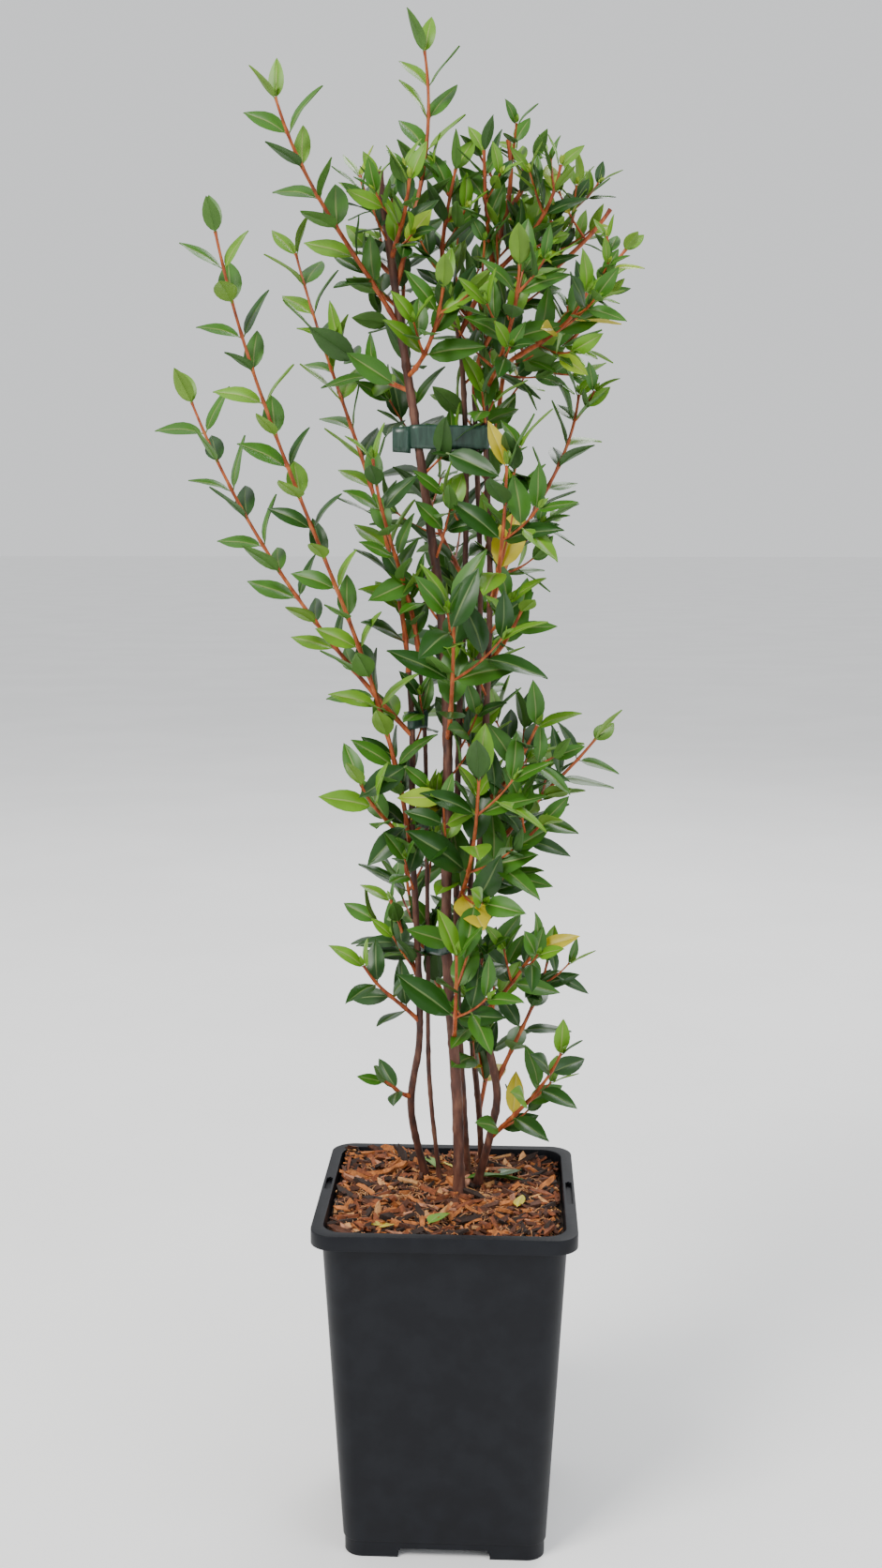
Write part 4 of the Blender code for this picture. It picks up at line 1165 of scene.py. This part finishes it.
def scatter_fibres():
    half = wall_half(SOIL_TOP) - SHEET - FIBRE_MARGIN
    for _ in range(FIBRES):
        x = stray(half) * FIBRE_SPREAD
        y = stray(half) * FIBRE_SPREAD
        turn = rng.uniform(0, 2 * math.pi)
        curl = stray(FIBRE_CURL)
        path = [Vector((x, y, chip_ground(x, y) + FIBRE_START))]
        for step in range(FIBRE_STEPS):
            turn += curl + stray(FIBRE_WANDER)
            after = path[-1] + Vector((math.cos(turn), math.sin(turn), 0)) * FIBRE_STEP
            if max(abs(after.x), abs(after.y)) > half:
                break
            height = FIBRE_HEIGHT + FIBRE_ARCH * math.sin(step * FIBRE_ARCHES)
            after.z = chip_ground(after.x, after.y) + height * MM
            path.append(after)
        if len(path) > FEWEST_STEPS:
            tube(fibre_batch, path, [FIBRE_RADIUS] * len(path), *TUBES["fibre"])


def scatter_litter():
    for (x, y), length, degrees, tone in LITTER:
        where = plant_point((x, y, 0))
        root = Vector((where.x, where.y, chip_ground(where.x, where.y) + LITTER_HEIGHT))
        turn = math.radians(degrees)
        forward = Vector((math.cos(turn), math.sin(turn), LITTER_SLOPE)).normalized()
        up = Vector((stray(LITTER_ROLL), stray(LITTER_ROLL), 1.0))
        lay_leaf(root, forward, up, length * MM, tone, rng.choice(leaf_forms))


# Build the plant and its pot

rng = random.Random(RANDOM_SEED)
leaf_forms = [(leaf_points(*form), *leaf_faces()) for form in LEAF_FORMS]
limbs = {}  # path, radius at the foot and at the tip
bark_batch, bough_batch, shoot_batch = Batch(), Batch(), Batch()
tie_batch, chip_batch, fibre_batch = Batch(), Batch(), Batch()
leaf_batches = {tone: [] for tone in TONES}
leaf_counts = dict.fromkeys(TONES, 0)

for grow, table in ((grow_stem, STEMS), (grow_bough, BOUGHS), (build_tie, TIES), (grow_shoot, SHOOTS)):
    for row_name, table_row in table.items():
        grow(row_name, table_row)
for limb_name, dressing in DRESSED.items():
    dress(limb_name, *dressing)
for lone_root, lone_way, lone_length, lone_tone in LONE_LEAVES:
    lay_leaf(plant_point(lone_root), Vector(lone_way).normalized(), LIGHT_SIDE, lone_length * MM,
             lone_tone, leaf_forms[0])
scatter_chips()
scatter_fibres()
scatter_litter()

pot_piece = build_pot()
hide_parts("pot")
stem_piece = bark_batch.build("stems", (BARK, CUT_WOOD), "stem_bark")
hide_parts(*STEMS)
bough_piece = bough_batch.build("boughs", (YOUNG_BARK, CUT_WOOD), "young_bark")
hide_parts(*BOUGHS)
shoot_piece = shoot_batch.build("shoots", (YOUNG_BARK,), "young_bark")
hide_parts(*SHOOTS)
tie_piece = tie_batch.build("ties", (TAPE,), "tie_tape")
skin = tie_piece.modifiers.new("thickness", "SOLIDIFY")
skin.thickness = TAPE_THICK
skin.offset = 0.0
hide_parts(*TIES)
for leaf_tone, tone_batches in leaf_batches.items():
    skins = leaf_skins(leaf_tone)
    for number, leaf_batch in enumerate(tone_batches):
        leaf_batch.build(f"leaves_{leaf_tone}_{number}", skins, "leaves", LEAF_CREASE)
chip_batch.build("bark_chips", CHIP_SKINS, "potting_mix", CHIP_CREASE)
fibre_batch.build("fibres", (FIBRE_BARK,), "potting_mix")
mix_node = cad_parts["potting_mix"]
for place_slot in mix_node.material_slots:
    place_slot.material = DARK_MIX


# Floor and light

FLOOR_SIZE = 60.0
SKY_COLOUR = (0.97, 0.985, 1.0)
SKY_STRENGTH = 0.95

floor_bm = bmesh.new()
bmesh.ops.create_grid(floor_bm, x_segments=1, y_segments=1, size=FLOOR_SIZE / 2)
floor = as_object(floor_bm, "floor")
floor.data.materials.append(grained("floor", ((0.4, (0.90, 0.90, 0.90)), (0.6, (0.93, 0.93, 0.93))),
                                    scale=3.0, roughness=0.9, bump=0.1 * MM))

world = bpy.data.worlds.new("sky")
world.use_nodes = True
sky = world.node_tree.nodes["Background"]
sky.inputs["Color"].default_value = (*SKY_COLOUR, 1.0)
sky.inputs["Strength"].default_value = SKY_STRENGTH
bpy.context.scene.world = world

# Lights: place in metres, size in metres, power in watts, colour
LIGHTS = {
    "key": ((-1.3, -1.6, 2.4), 1.1, 88.0, (1.0, 0.97, 0.92)),
    "fill": ((1.9, -1.3, 1.3), 1.6, 20.0, (0.90, 0.95, 1.0)),
    "back": ((0.7, 1.9, 2.2), 1.2, 34.0, (1.0, 1.0, 1.0)),
}
MIDDLE_HEIGHT = 0.45
for light_name, (light_at, light_size, power, tint) in LIGHTS.items():
    lamp = bpy.data.lights.new(light_name, "AREA")
    lamp.size = light_size
    lamp.energy = power
    lamp.color = tint
    light = add_object(light_name, lamp)
    light.location = light_at
    aim = Vector((0, 0, MIDDLE_HEIGHT)) - Vector(light_at)
    light.rotation_euler = aim.to_track_quat("-Z", "Y").to_euler()
